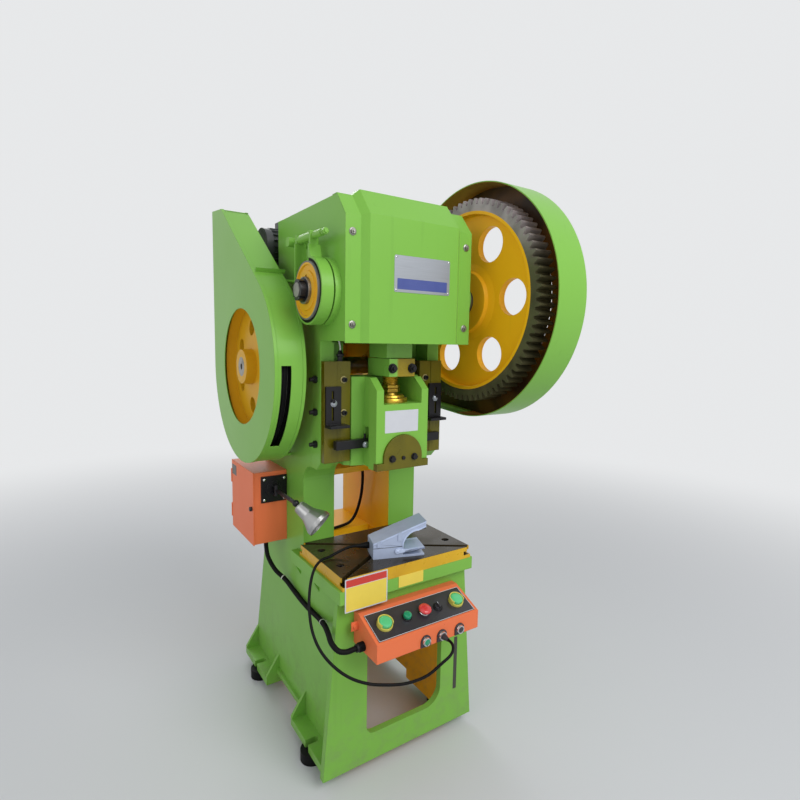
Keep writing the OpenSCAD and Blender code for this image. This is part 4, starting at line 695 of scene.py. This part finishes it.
def ribbed_hose_tree():
    """A hose along a curve, its radius swelling and shrinking from rib to groove."""
    t, i, o = nodes_tree("ribbed_hose", {"Radius": 0.01, "Pitch": 0.005, "Depth": 0.14, "Material": None})
    even = add(t, "GeometryNodeResampleCurve", mode="LENGTH", Curve=i["Geometry"],
        Length=maths(t, "DIVIDE", i["Pitch"], 4))
    angle = times(t, t.nodes.new("GeometryNodeInputIndex").outputs[0], math.pi / 2)
    swell = maths(t, "ADD", times(t, maths(t, "COSINE", angle), 0.5), 0.5)
    scale = maths(t, "SUBTRACT", 1.0, times(t, swell, i["Depth"]))
    radius = add(t, "GeometryNodeSetCurveRadius", Curve=even.outputs[0], Radius=times(t, scale, i["Radius"]))
    ring = add(t, "GeometryNodeCurvePrimitiveCircle", Resolution=14, Radius=1.0)
    skin = add(t, "GeometryNodeCurveToMesh", Curve=radius.outputs[0], Profile_Curve=ring.outputs[0],
        Fill_Caps=True, Scale=t.nodes.new("GeometryNodeInputRadius").outputs[0])
    close_tree(t, skin.outputs[0], i["Material"], o)
    return t


def rivets_tree():
    """A low dome on every point, turned to face -Y."""
    t, i, o = nodes_tree("rivets", {"Radius": 0.003, "Rise": 0.5, "Material": None})
    ball = add(t, "GeometryNodeMeshUVSphere", Segments=14, Rings=8, Radius=i["Radius"])
    shape = add(t, "ShaderNodeCombineXYZ", X=1, Y=i["Rise"], Z=1)
    dome = add(t, "GeometryNodeTransform", Geometry=ball.outputs[0], Scale=shape.outputs[0])
    on = add(t, "GeometryNodeInstanceOnPoints", Points=i["Geometry"], Instance=dome.outputs[0])
    close_tree(t, on.outputs[0], i["Material"], o)
    return t


def rivets(name, points, radius):
    tree = bpy.data.node_groups.get("rivets") or rivets_tree()
    mesh = bpy.data.meshes.new(name + "_points")
    mesh.from_pydata(points, [], [])
    o = baked(in_scene(name + "_points", mesh), tree, {"Radius": radius, "Material": finishes["chrome"]}, name)
    return join_body(o, "bright_steel")


# Routes, in millimetres, as the part has them
PEDAL_ROUTE = [(-136.26, -331.25, 772), (-151.48, -326.33, 771.6), (-170.52, -320.19, 768.5), (-210, -316, 757),
    (-246, -320, 749), (-280, -329, 748), (-312, -345, 733), (-336, -365, 700), (-355, -392, 655),
    (-368, -425, 610), (-374, -465, 566), (-366, -508, 524), (-342, -552, 488), (-305, -590, 458),
    (-255, -620, 436), (-200, -646, 426), (-146, -670, 424), (-98, -688, 432), (-60, -699, 446),
    (-16.2, -709.7, 475.9), (4.5, -711.1, 485.9), (20.2, -708.4, 493.5), (33.1, -700.2, 499.8),
    (42.5, -687.6, 504.3), (47.4, -671.9, 506.7), (48, -656, 507)]
CONDUIT_ROUTE = [(-330, 110, 699), (-330, 110, 655), (-324, 100, 610), (-306, 66, 565), (-280, 20, 535),
    (-273, -50, 516), (-273, -130, 508), (-273, -215, 506), (-275, -300, 512), (-288, -375, 524),
    (-306, -440, 532), (-316, -485, 524), (-308, -520, 512), (-284, -532, 507), (-260, -532, 507),
    (-240, -532, 507)]
THROAT_ROUTE = [(96, 40, 1000), (96, 40, 958), (98, 42, 915), (101, 52, 865), (100, 64, 815), (92, 72, 770),
    (76, 74, 733), (50, 70, 710.4), (18, 62, 704.8), (-20, 52, 704.2), (-60, 42, 704.4), (-88, 28, 706.4),
    (-100, 18, 690), (-102, 16, 640)]


# Operators

class PRESS_OT_camera(bpy.types.Operator):
    """Stand the camera where the machine is seen from its front left"""
    bl_idname = "press.camera"
    bl_label = "Camera"

    def execute(self, context):
        yaw, pitch, roll = math.radians(33.70), math.radians(6.36), math.radians(-1.026)
        ahead = Vector((math.sin(yaw) * math.cos(pitch), math.cos(yaw) * math.cos(pitch), -math.sin(pitch)))
        right = Vector((math.cos(yaw), -math.sin(yaw), 0))
        up = right.cross(ahead)
        x = right * math.cos(roll) - up * math.sin(roll)
        y = right * math.sin(roll) + up * math.cos(roll)
        lens = bpy.data.cameras.new("camera")
        lens.sensor_fit = "HORIZONTAL"
        lens.sensor_width = 36
        lens.lens = 523.56 / 800 * 36
        o = in_scene("camera", lens)
        turn = Matrix((x, y, -ahead)).transposed().to_4x4()
        o.matrix_world = Matrix.Translation((-1.0543, -1.980, 1.5325)) @ turn
        context.scene.camera = o
        return {"FINISHED"}


class PRESS_OT_finishes(bpy.types.Operator):
    """Make the paints, metals and plastics and put them on the solids"""
    bl_idname = "press.finishes"
    bl_label = "Finishes"

    def execute(self, context):
        build_groups()
        build_finishes()
        for name, nodes in NODE_FINISH.items():
            for n in nodes:
                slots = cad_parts[n].data.materials
                for k in range(len(slots)):
                    slots[k] = finishes[name]
                if not slots:
                    slots.append(finishes[name])
        return {"FINISHED"}


class PRESS_OT_cords(bpy.types.Operator):
    """Lay the pedal's cord and the cable in the throat"""
    bl_idname = "press.cords"
    bl_label = "Cords"

    def execute(self, context):
        line = smooth_path(PEDAL_ROUTE)
        o = join_body(curve_of("pedal_cord_flex", line, 0.005, "rubber"), "black_rubber")
        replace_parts(o, "pedal_cord")
        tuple(line[0])
        length_of(line)
        o = curve_of("throat_cable_flex", smooth_path(THROAT_ROUTE), 0.0068, "rubber")
        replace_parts(join_body(o, "black_rubber"), "throat_cable")
        return {"FINISHED"}


class PRESS_OT_conduit(bpy.types.Operator):
    """Draw the ribbed conduit from the electric box to the control box, with its ties"""
    bl_idname = "press.conduit"
    bl_label = "Conduit"

    def execute(self, context):
        s = context.scene.press_trim
        line = smooth_path(CONDUIT_ROUTE)
        values = {"Radius": 0.0098, "Pitch": s.hose_pitch, "Depth": s.hose_depth,
            "Material": finishes["rubber"]}
        o = baked(curve_of("conduit_line", line), ribbed_hose_tree(), values, "conduit_hose")
        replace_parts(join_body(o, "black_rubber"), "conduit")
        for k, at in enumerate((30, 68)):
            self.tie(line[at], (line[at + 1] - line[at - 1]).normalized(), k)
        return {"FINISHED"}

    def tie(self, at, along, k):
        """A narrow strap round the hose, with its lock and cut tail."""
        side = along.cross(Vector(UP)).normalized()
        up = side.cross(along)
        n, verts, faces = 24, [], []
        for j, (c, s) in enumerate(around(n)):
            for r, w in ((0.0099, -0.002), (0.0112, -0.002), (0.0112, 0.002), (0.0099, 0.002)):
                verts.append(at + (side * c + up * s) * r + along * w)
            faces += band(4 * j, 4 * ((j + 1) % n), 4)
        base = len(verts)
        lock = at - side * 0.0112
        for dz, h in ((-0.0012, 0.003), (0.0045, 0.003), (0.0052, 0.0022)):
            for sx, sy in ((-1, -1), (1, -1), (1, 1), (-1, 1)):
                verts.append(lock - side * dz + up * h * sx + along * h * sy)
        faces += band(base, base + 4, 4) + band(base + 4, base + 8, 4)
        faces += [(base + 3, base + 2, base + 1, base), (base + 8, base + 9, base + 10, base + 11)]
        piece(f"conduit_tie_{k}", verts, faces, "tie_white", "panel_black")


class PRESS_OT_nameplate(bpy.types.Operator):
    """Rivet a bare plate to the front cover"""
    bl_idname = "press.nameplate"
    bl_label = "Name plate"

    def execute(self, context):
        s = context.scene.press_trim
        x0, x1, z0, z1 = -0.089, 0.146, 1.698, 1.820
        front = COVER_FRONT - s.plate_t
        round_plate("name_plate", (x0, z0), (x1, z1), COVER_FRONT, s.plate_t, "plate", "bright_steel",
            corner=0.006, bevel=0.0004)
        round_plate("name_plate_field", (x0 + 0.012, z0 + 0.010), (x1 - 0.012, z0 + 0.046), front, 0.0002,
            "plate_blue", "panel_black", bevel=0.00005)
        points = [(x, front, z) for x in (x0 + 0.007, x1 - 0.007) for z in (z0 + 0.007, z1 - 0.007)]
        rivets("name_plate_rivets", points, s.rivet_r)
        return {"FINISHED"}


class PRESS_OT_labels(bpy.types.Operator):
    """Stick plain colour fields where the machine carries its labels, and a dark strip of painted shade in the
    base's slot
    """
    bl_idname = "press.labels"
    bl_label = "Labels"

    def execute(self, context):
        round_plate("slide_label", (-0.076, 1.206), (0.068, 1.286), SLIDE_FRONT, 0.0004, "label_white",
            "yellow_plastic", "ram")
        card = BED_FRONT - 0.0002
        field = card - 0.0012
        for name, x0, z0, x1, z1, front, thick, finish, slot in (
                ("bed_label_card", -0.272, 0.620, -0.104, 0.738, card, 0.0012, "white", "bright_steel"),
                ("bed_label_low", -0.268, 0.624, -0.108, 0.707, field, 0.0003, "yellow", "yellow_plastic"),
                ("bed_label_red", -0.268, 0.709, -0.108, 0.734, field, 0.0003, "red", "red_button"),
                ("bed_label_small", -0.056, 0.656, 0.052, 0.699, card, 0.0012, "yellow", "yellow_plastic"),
                # A dark strip on the base's front: painted shade in its narrow recessed slot.
                ("base_slot", 0.239, 0.138, 0.256, 0.359, -0.462, 0.0006, "dark", "dark_steel")):
            round_plate(name, (x0, z0), (x1, z1), front, thick, "label_" + finish, slot)
        return {"FINISHED"}


class PRESS_OT_lamp_bulb(bpy.types.Operator):
    """Put a frosted bulb in the lamp's bell"""
    bl_idname = "press.lamp_bulb"
    bl_label = "Lamp bulb"

    def execute(self, context):
        centre = Vector((LAMP[0], -0.187, LAMP[1]))
        turn = Matrix.Rotation(math.radians(40), 3, "Z") @ Matrix.Rotation(math.radians(125), 3, "X")
        profile = [(0.0135, 0.0585), (0.0135, 0.070), (0.016, 0.078), (0.022, 0.088), (0.0245, 0.097),
            (0.022, 0.106), (0.015, 0.113), (0.006, 0.1165)]
        n, verts, faces = 24, [], []
        for r, z in profile:
            verts += [centre + turn @ Vector((r * c, r * s, z)) for c, s in around(n)]
        verts.append(centre + turn @ Vector((0, 0, 0.117)))
        last = (len(profile) - 1) * n
        for low in range(0, last, n):
            faces += band(low, low + n, n)
        faces += [(last + j, last + (j + 1) % n, last + n) for j in range(n)]
        faces.append(tuple(range(n))[::-1])
        piece("lamp_bulb", verts, faces, "bulb_glass", "yellow_plastic", "lamp", smooth=True)
        return {"FINISHED"}


class PRESS_OT_ball_screw(bpy.types.Operator):
    """Cut the screw, its nut and its seat under the rod"""
    bl_idname = "press.ball_screw"
    bl_label = "Ball screw"

    def execute(self, context):
        at, brass = (0, CRANK[0], 0), ("screw_brass", "bronze", "ram")
        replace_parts(self.thread("screw_thread", 30, 1372.5, 1406.8, 7), "ball_screw")
        for k, low in enumerate((1345, 1359)):
            nut = [(0, low), (36, low), (39, low + 2), (39, low + 11), (36, low + 13.4), (0, low + 13.4)]
            turned(f"screw_nut_{k}", at, UP, nut, *brass, n=6)
        neck = [(0, 1318), (30.5, 1318), (30.8, 1336), (28, 1340), (28, 1345.2), (0, 1345.2)]
        turned("screw_neck", at, UP, neck, *brass, n=40)
        seat = [(31, 1309), (66, 1309), (66, 1321), (63, 1325), (54, 1327), (52, 1334), (50, 1336), (34, 1336),
            (31, 1333)]
        turned("screw_seat_ring", at, UP, seat, *brass, n=56, ring=True)
        screw = [(0, 1325), (3.4, 1325), (3.4, 1328.4), (2.6, 1329.2), (0, 1329.2)]
        for k, (x, y) in enumerate(arc(0.0585, 0, CRANK[0], range(30, 390, 60))):
            turned(f"seat_screw_{k}", (x, y, 0), UP, screw, "black_oxide", "dark_steel", "ram", n=12)
        return {"FINISHED"}

    def thread(self, name, radius, low, high, pitch):
        n, rows = 48, int((high - low) / 0.75)
        verts, faces = [], []
        for k in range(rows + 1):
            z = low + (high - low) * k / rows
            for j, (c, s) in enumerate(around(n)):
                wave = abs(((z / pitch - j / n) % 1) * 2 - 1)
                r = radius - 3.2 * min(max(1.25 * wave - 0.12, 0), 1)
                verts.append(straight(r * c, 1000 * CRANK[0] + r * s, z))
        for k in range(rows):
            faces += band(k * n, (k + 1) * n, n)
        faces += [tuple(range(n))[::-1], tuple(rows * n + j for j in range(n))]
        return piece(name, verts, faces, "screw_brass", "bronze", "ram", smooth=True)


class PRESS_OT_slide_fittings(bpy.types.Operator):
    """Put on the small screws, the oil nozzle and its pipe"""
    bl_idname = "press.slide_fittings"
    bl_label = "Slide fittings"

    def execute(self, context):
        pan = [(0, -0.2), (12.5, -0.2), (12.5, 1.4), (10, 1.6), (10, 4), (8, 6), (4.4, 7.2), (0, 7.5)]
        for name, at, body in (("stop_screw_0", (-0.226, -0.315, 1.310), "press"),
                               ("stop_screw_2", (0.226, -0.315, 1.310), "press"),
                               ("knockout_screw", (-0.110, -0.342, 1.156), "knockout")):
            turned(name, at, TO_FRONT, pan, "plate", "bright_steel", body, n=24)
        rim = [(9.3, -0.1), (13, -0.1), (13, 0.9), (12.4, 1.4), (9.3, 1.4)]
        for k, (x, z) in enumerate((x, z) for x in (-0.181, 0.181) for z in (1.153, 1.273, 1.393)):
            turned(f"gib_screw_rim_{k}", (x, -0.304, z), TO_FRONT, rim, "oil_tan", "bright_steel", n=28,
                ring=True)
        nozzle = [(0, -0.5), (12, -0.5), (12, 3.5), (10, 5), (10, 16), (13.5, 18), (13.5, 26), (9, 29), (7, 36),
            (4.4, 39), (0, 39)]
        turned("oil_nozzle", (-0.190, -0.292, 1.459), UP, nozzle, "black_oxide", "dark_steel", n=20)
        pipe = smooth_path([(-190, -292, 1495), (-190, -292, 1510), (-194, -290, 1528), (-201, -288, 1543),
            (-209, -287, 1553), (-218, -286, 1557)])
        join_body(curve_of("oil_pipe", pipe, 0.0028, "tie_white"), "panel_black")
        return {"FINISHED"}


class PRESS_OT_panel_fittings(bpy.types.Operator):
    """Put the bright nuts and screws on the control box and the electric box"""
    bl_idname = "press.panel_fittings"
    bl_label = "Panel fittings"

    def execute(self, context):
        nut = [(10.6, 3.6), (15.8, 3.6), (16.2, 4.4), (16.2, 7.4), (15, 9), (14.9, 12.2), (13, 13),
            (10.8, 12.2), (10.6, 11)]
        face = [(0, 10), (10.7, 10), (10.7, 11.2), (9.6, 12), (0, 12.4)]
        for x, finish in ((-22, "start_green"), (48, None), (128, "panel_black")):
            at = (x / 1000, BOX_FRONT, CONNECTOR_Z)
            turned(f"connector_nut_{x + 22}", at, TO_FRONT, nut, "chrome", "bright_steel", n=40, ring=True)
            if finish:
                turned(f"connector_face_{x + 22}", at, TO_FRONT, face, finish, "panel_black", n=28)
        grip = [(9.9, 0.1), (15.2, 0.1)]
        for k in range(5):
            grip += [(15.2, 1.2 + 4 * k), (16.4, 2 + 4 * k), (16.4, 3.8 + 4 * k), (15.2, 4.6 + 4 * k)]
        grip += [(12.6, 23), (9.9, 24)]
        turned("conduit_grip", (-0.218, -0.532, CONNECTOR_Z), (-1, 0, 0), grip, "rubber", "black_rubber", n=30,
            ring=True)
        points = [(LAMP[0] + sx * 0.042, 0.038, LAMP[1] + sz * 0.042) for sx in (-1, 1) for sz in (-1, 1)]
        rivets("lamp_base_screws", points, 0.0062)
        label = [(oblong(-328, 938, -268, 982), -405.0, -404.4)]
        cut_out("door_label", label, lambda x, y, z: straight(y, -x, z), "label_dark", "panel_black", "door")
        return {"FINISHED"}


class PRESS_OT_buttons(bpy.types.Operator):
    """Fit the push buttons, the stop and the selector on the sloping panel"""
    bl_idname = "press.buttons"
    bl_label = "Buttons"

    def execute(self, context):
        out, along = Vector((0, -SLOPE[0], SLOPE[1])), Vector((0, SLOPE[1], SLOPE[0]))

        def at(x):
            return Vector((x / 1000, *PANEL))

        palm = [(0, 2), (13, 2), (13, 8), (22.4, 8), (23.1, 9), (23.1, 17.5), (22.4, 19.2), (19.5, 20.3),
            (12, 20.9), (0, 21.1)]
        start = [(0, 0.5), (9.4, 0.5), (9.4, 6.4), (14, 6.4), (14.8, 7.2), (14.8, 16), (13.8, 18), (9, 19.2),
            (0, 19.6)]
        stop = [(0, 1), (10, 1), (10, 9), (16, 10.2), (22.4, 11.2), (23.4, 12.8), (23.4, 16), (21.4, 19.4),
            (16, 21.8), (8, 22.8), (0, 23)]
        knob = [(0, 0.5), (12.4, 0.5), (12.9, 1.4), (12.9, 6.5), (11.6, 9.3), (0, 9.6)]
        for body, kind, x, profile, finish, slot, n, node in (
                ("palm_left", "cap", -155, palm, "palm_green", "green_button", 48, "palm_button_left"),
                ("palm_right", "cap", 155, palm, "palm_green", "green_button", 48, "palm_button_right"),
                ("start", "cap", -64, start, "start_green", "green_button", 40, "start_button"),
                ("stop", "cap", 11, stop, "red_button", "red_button", 48, "emergency_stop"),
                ("selector", "knob", 72, knob, "panel_black", "panel_black", 40, "selector_switch")):
            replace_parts(turned(f"{body}_{kind}", at(x), out, profile, finish, slot, body, n=n), node)

        def on_panel(x, y, z):
            return at(x) + along * z / 1000 - out * y / 1000

        def on_knob(x, y, z):
            return at(72) + Vector((x, 0, 0)) / 1000 + along * z / 1000 - out * y / 1000

        # White strips round the fascia's border: a painted highlight on the panel's rim.
        edges = ((-205, -54, 205, -52.2), (-205, 56.2, 205, 58), (-205, -54, -203.2, 58), (203.2, -54, 205, 58))
        lines = [(oblong(*edge), -0.3, 0.1) for edge in edges]
        cut_out("fascia_line", lines, on_panel, "label_white", "panel_black")
        bar = arc(3.4, 0, 9.6, (0, 45, 90, 135, 180)) + arc(3.4, 0, -9.6, (181, 225, 270, 315, 359))
        cut_out("selector_lever", [(bar, -17, -9)], on_knob, "panel_black", "panel_black", "selector")
        mark = [(oblong(-0.9, 3, 0.9, 11), -17.2, -16.8)]
        cut_out("selector_mark", mark, on_knob, "label_white", "yellow_plastic", "selector")
        ring = [(15, -0.1), (18.2, -0.1), (18.2, 2.4), (17, 3.8), (15, 3.8)]
        for x, finish in ((-64, "black_oxide"), (11, "chrome"), (72, "black_oxide")):
            turned(f"button_ring_{x + 64}", at(x), out, ring, finish, "dark_steel", n=40, ring=True)
        return {"FINISHED"}


class PRESS_OT_cover_bolts(bpy.types.Operator):
    """Hold the front cover with bolts on washers"""
    bl_idname = "press.cover_bolts"
    bl_label = "Cover bolts"

    def execute(self, context):
        steel = ("bright_steel", "bright_steel")
        washer = [(0, -0.1), (13, -0.1), (13, 1.2), (12.2, 1.8), (0, 1.8)]
        bolt = [(0, 1.6), (8.6, 1.6), (9.4, 2.2), (9.4, 7.4), (8.2, 8.6), (0, 8.6)]
        stud = [(0, 8.4), (4.2, 8.4), (4.2, 12), (3.4, 12.8), (0, 12.8)]
        for k, (x, z) in enumerate((x, z) for x in (-0.236, 0.236) for z in (1.585, 1.879)):
            at = (x, BOLT_FACE, z)
            turned(f"cover_washer_{k}", at, TO_FRONT, washer, *steel)
            o = turned(f"cover_bolt_{k}", at, TO_FRONT, bolt, *steel, n=6)
            turned(f"cover_stud_{k}", at, TO_FRONT, stud, *steel, n=16)
            if k == 0:
                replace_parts(o, "cover_bolts")
        return {"FINISHED"}


class PRESS_OT_guard_flange(bpy.types.Operator):
    """Weld the inner flange behind the gear into the gear guard"""
    bl_idname = "press.guard_flange"
    bl_label = "Gear guard flange"

    def execute(self, context):
        loops = self.line(0.4602, 0.1562), self.line(0.350, 0.128)
        verts = [(x, y, z) for x in (0.466, 0.470) for loop in loops for y, z in loop]
        n, faces = len(loops[0]), []
        for j in range(n):
            k = (j + 1) % n
            faces += [(2 * n + j, 2 * n + k, 3 * n + k, 3 * n + j), (n + j, n + k, k, j),
                (j, k, 2 * n + k, 2 * n + j), (3 * n + j, 3 * n + k, n + k, n + j)]
        piece("gear_guard_flange", verts, faces, "thrown_grease", "green_sheet", smooth=True)
        return {"FINISHED"}

    def line(self, around_gear, around_pinion):
        """A line round the gear and the pinion, as the guard runs."""
        dy, dz = PINION[0] - CRANK[0], PINION[1] - CRANK[1]
        a, b = math.atan2(dz, dy), math.acos((GUARD_R - LOBE_R) / math.hypot(dy, dz))
        turns = [(CRANK, around_gear, a + b + (math.tau - 2 * b) * k / 72) for k in range(73)]
        turns += [(PINION, around_pinion, a - b + 2 * b * k / 24) for k in range(25)]
        return [(c[0] + r * math.cos(v), c[1] + r * math.sin(v)) for c, r, v in turns]


class PRESS_OT_pedal(bpy.types.Operator):
    """Put the cover, its edges and the treadle's cheeks on the foot pedal"""
    bl_idname = "press.pedal"
    bl_label = "Pedal"

    def execute(self, context):
        turn = Matrix.Rotation(math.radians(-17.9), 3, "Z")

        def put(x, y, z):
            return Vector((*PEDAL, BOLSTER_TOP)) + turn @ straight(x, y, z)

        def arch(r):
            return arc(r, 172, 40, [180 - 90 * k / 12 for k in range(13)])

        side = [(0.4, 42), (113.8, 42)] + arch(58.4) + [(200.2, 109), (201.6, 131.2), (0.4, 59.7)]
        bead = [(113.4, 42)] + arch(58.2) + [(200.4, 109), (200.8, 114)] + arch(63.6)[::-1] + [(108.2, 42)]
        visor = [(168, 98.6), (200.2, 109), (201.6, 131.2), (196, 129), (190, 112), (168, 104)]
        rim = [(0.2, 54), (200.4, 125.6), (201.6, 131.6), (0.2, 59.9)]
        straps = [[(92, 64), (106, 64), (106, 97.2), (92, 92.2)], [(14, 45), (28, 45), (28, 69.4), (14, 64.4)]]
        arm = arc(10.5, 92, 26, range(60, 301, 20))
        arm += [(122, 20), (196, 27.2), (196, 33.6), (150, 30.6), (122, 30.4)]
        tread = [(120, 20.3), (195.8, 27.3), (195.8, 33.5), (150, 30.6), (120, 28.6)]
        pin = [(0, -4), (4.4, -4), (4.4, 1.2), (3.4, 2), (0, 2.2)]
        cut_out("pedal_visor", [(visor, 5.8, 86.2)], put, "pedal_paint", "pedal_paint")
        for name, flip in (("left", False), ("right", True)):
            def level(outline, front, back):
                """An outline on the near side, or as far in from the far one."""
                return (outline, 92 - back, 92 - front) if flip else (outline, front, back)

            for part, shapes, finish, slot, body in (
                    ("pedal_cover", [level(side, -1.2, 6)] + [level(strap, -4.2, 0.3) for strap in straps],
                        "pedal_paint", "pedal_paint", "press"),
                    ("pedal_rim", [level(bead, -3.6, 6.4), level(rim, -2.2, 0.3)],
                        "pedal_edge", "pedal_paint", "press"),
                    # A dark strip along the cover's seam: painted shade under the plate's edge.
                    ("pedal_seam", [level(oblong(0.4, 40.4, 112.6, 42.1), -0.5, 0.3)],
                        "label_dark", "panel_black", "press"),
                    ("treadle_cheek", [level(arm, -4.6, -0.7), level(tread, -4.6, 7.5)],
                        "pedal_edge", "pedal_paint", "treadle")):
                cut_out(f"{part}_{name}", shapes, put, finish, slot, body)
            at, out = put(92, 96.6 if flip else -4.6, 26), turn @ Vector((0, 1 if flip else -1, 0))
            turned(f"treadle_pin_{name}", at, out, pin, "pedal_edge", "pedal_paint", "treadle", n=20)
        return {"FINISHED"}


class PRESS_OT_stage(bpy.types.Operator):
    """Lay a pale floor and hang soft lamps"""
    bl_idname = "press.stage"
    bl_label = "Stage"

    def execute(self, context):
        s = context.scene.press_stage
        context.scene.view_settings.view_transform = "Standard"
        self.floor(s)
        self.world(context, s)
        self.lamp("key", (0.8, -4.2, 4.2), (0, -0.2, 1.0), 3.5, s.key_power)
        self.lamp("fill", (-4.0, -1.5, 2.5), (0, -0.2, 1.0), 3.0, s.fill_power)
        self.lamp("back", (0.5, 3.6, 3.4), (0, 0, 1.2), 2.6, s.fill_power * 1.75)
        return {"FINISHED"}

    def floor(self, s):
        verts = [(s.floor_r * x, s.floor_r * y, FLOOR) for x, y in around(96)]
        mesh = bpy.data.meshes.new("floor")
        mesh.from_pydata(verts, [], [tuple(range(len(verts)))])
        m = bpy.data.materials.new("floor")
        m.use_nodes = True
        t = m.node_tree
        shader = t.nodes["Principled BSDF"]
        shader.inputs["Roughness"].default_value = 0.7
        shader.inputs["Base Color"].default_value = (0.62, 0.63, 0.64, 1)
        far_off = add(t, "ShaderNodeVectorMath", operation="LENGTH", Vector=place(t)).outputs["Value"]
        glow = add(t, "ShaderNodeEmission", Color=(*s.backdrop, 1))
        ends = (ramp(t, far_off, 1.6, 6.0), shader.outputs[0], glow.outputs[0])
        feed(t, t.nodes["Material Output"].inputs["Surface"], fill(t, "ShaderNodeMixShader", ends))
        mesh.materials.append(m)
        in_scene("floor", mesh)

    def world(self, context, s):
        w = bpy.data.worlds.new("sky")
        context.scene.world = w
        w.use_nodes = True
        t = w.node_tree
        light = t.nodes["Background"]
        light.inputs[0].default_value = (0.93, 0.96, 1.0, 1)
        light.inputs[1].default_value = s.sky
        seen = add(t, "ShaderNodeBackground", Color=(*s.backdrop, 1), Strength=1.0)
        path = t.nodes.new("ShaderNodeLightPath").outputs
        mirrored = maths(t, "MAXIMUM", path["Is Glossy Ray"], path["Is Transmission Ray"])
        ends = (maths(t, "MAXIMUM", path["Is Camera Ray"], mirrored), light.outputs[0], seen.outputs[0])
        feed(t, t.nodes["World Output"].inputs[0], fill(t, "ShaderNodeMixShader", ends))

    def lamp(self, name, at, to, size, power):
        data = bpy.data.lights.new(name, "AREA")
        data.shape = "DISK"
        data.size = size
        data.energy = power
        o = in_scene(name, data)
        o.location = at
        o.rotation_euler = (Vector(to) - Vector(at)).to_track_quat("-Z", "Y").to_euler()


class PRESS_PT_panel(bpy.types.Panel):
    """Settings and pieces of the press"""
    bl_idname = "PRESS_PT_panel"
    bl_label = "Press"
    bl_space_type = "VIEW_3D"
    bl_region_type = "UI"
    bl_category = "Press"

    def draw(self, context):
        for group_name in ("press_paints", "press_trim", "press_stage"):
            settings = getattr(context.scene, group_name)
            box = self.layout.box()
            for key in settings.bl_rna.properties.keys():
                if key not in ("rna_type", "name"):
                    box.prop(settings, key)
        for op in OPERATORS:
            self.layout.operator(op.bl_idname)


SETTINGS = {"press_paints": PressPaints, "press_trim": PressTrim, "press_stage": PressStage}
OPERATORS = (PRESS_OT_camera, PRESS_OT_finishes, PRESS_OT_cords, PRESS_OT_conduit, PRESS_OT_nameplate,
    PRESS_OT_labels, PRESS_OT_lamp_bulb, PRESS_OT_ball_screw, PRESS_OT_slide_fittings,
    PRESS_OT_panel_fittings, PRESS_OT_buttons, PRESS_OT_cover_bolts, PRESS_OT_guard_flange, PRESS_OT_pedal,
    PRESS_OT_stage)


def register():
    for name, cls in SETTINGS.items():
        bpy.utils.register_class(cls)
        setattr(bpy.types.Scene, name, bpy.props.PointerProperty(type=cls))
    for cls in OPERATORS + (PRESS_PT_panel,):
        bpy.utils.register_class(cls)


def unregister():
    for cls in reversed(OPERATORS + (PRESS_PT_panel,)):
        bpy.utils.unregister_class(cls)
    for name, cls in SETTINGS.items():
        delattr(bpy.types.Scene, name)
        bpy.utils.unregister_class(cls)


def main():
    register()
    for cls in OPERATORS:
        family, name = cls.bl_idname.split(".")
        getattr(getattr(bpy.ops, family), name)()


if __name__ == "__main__":
    main()
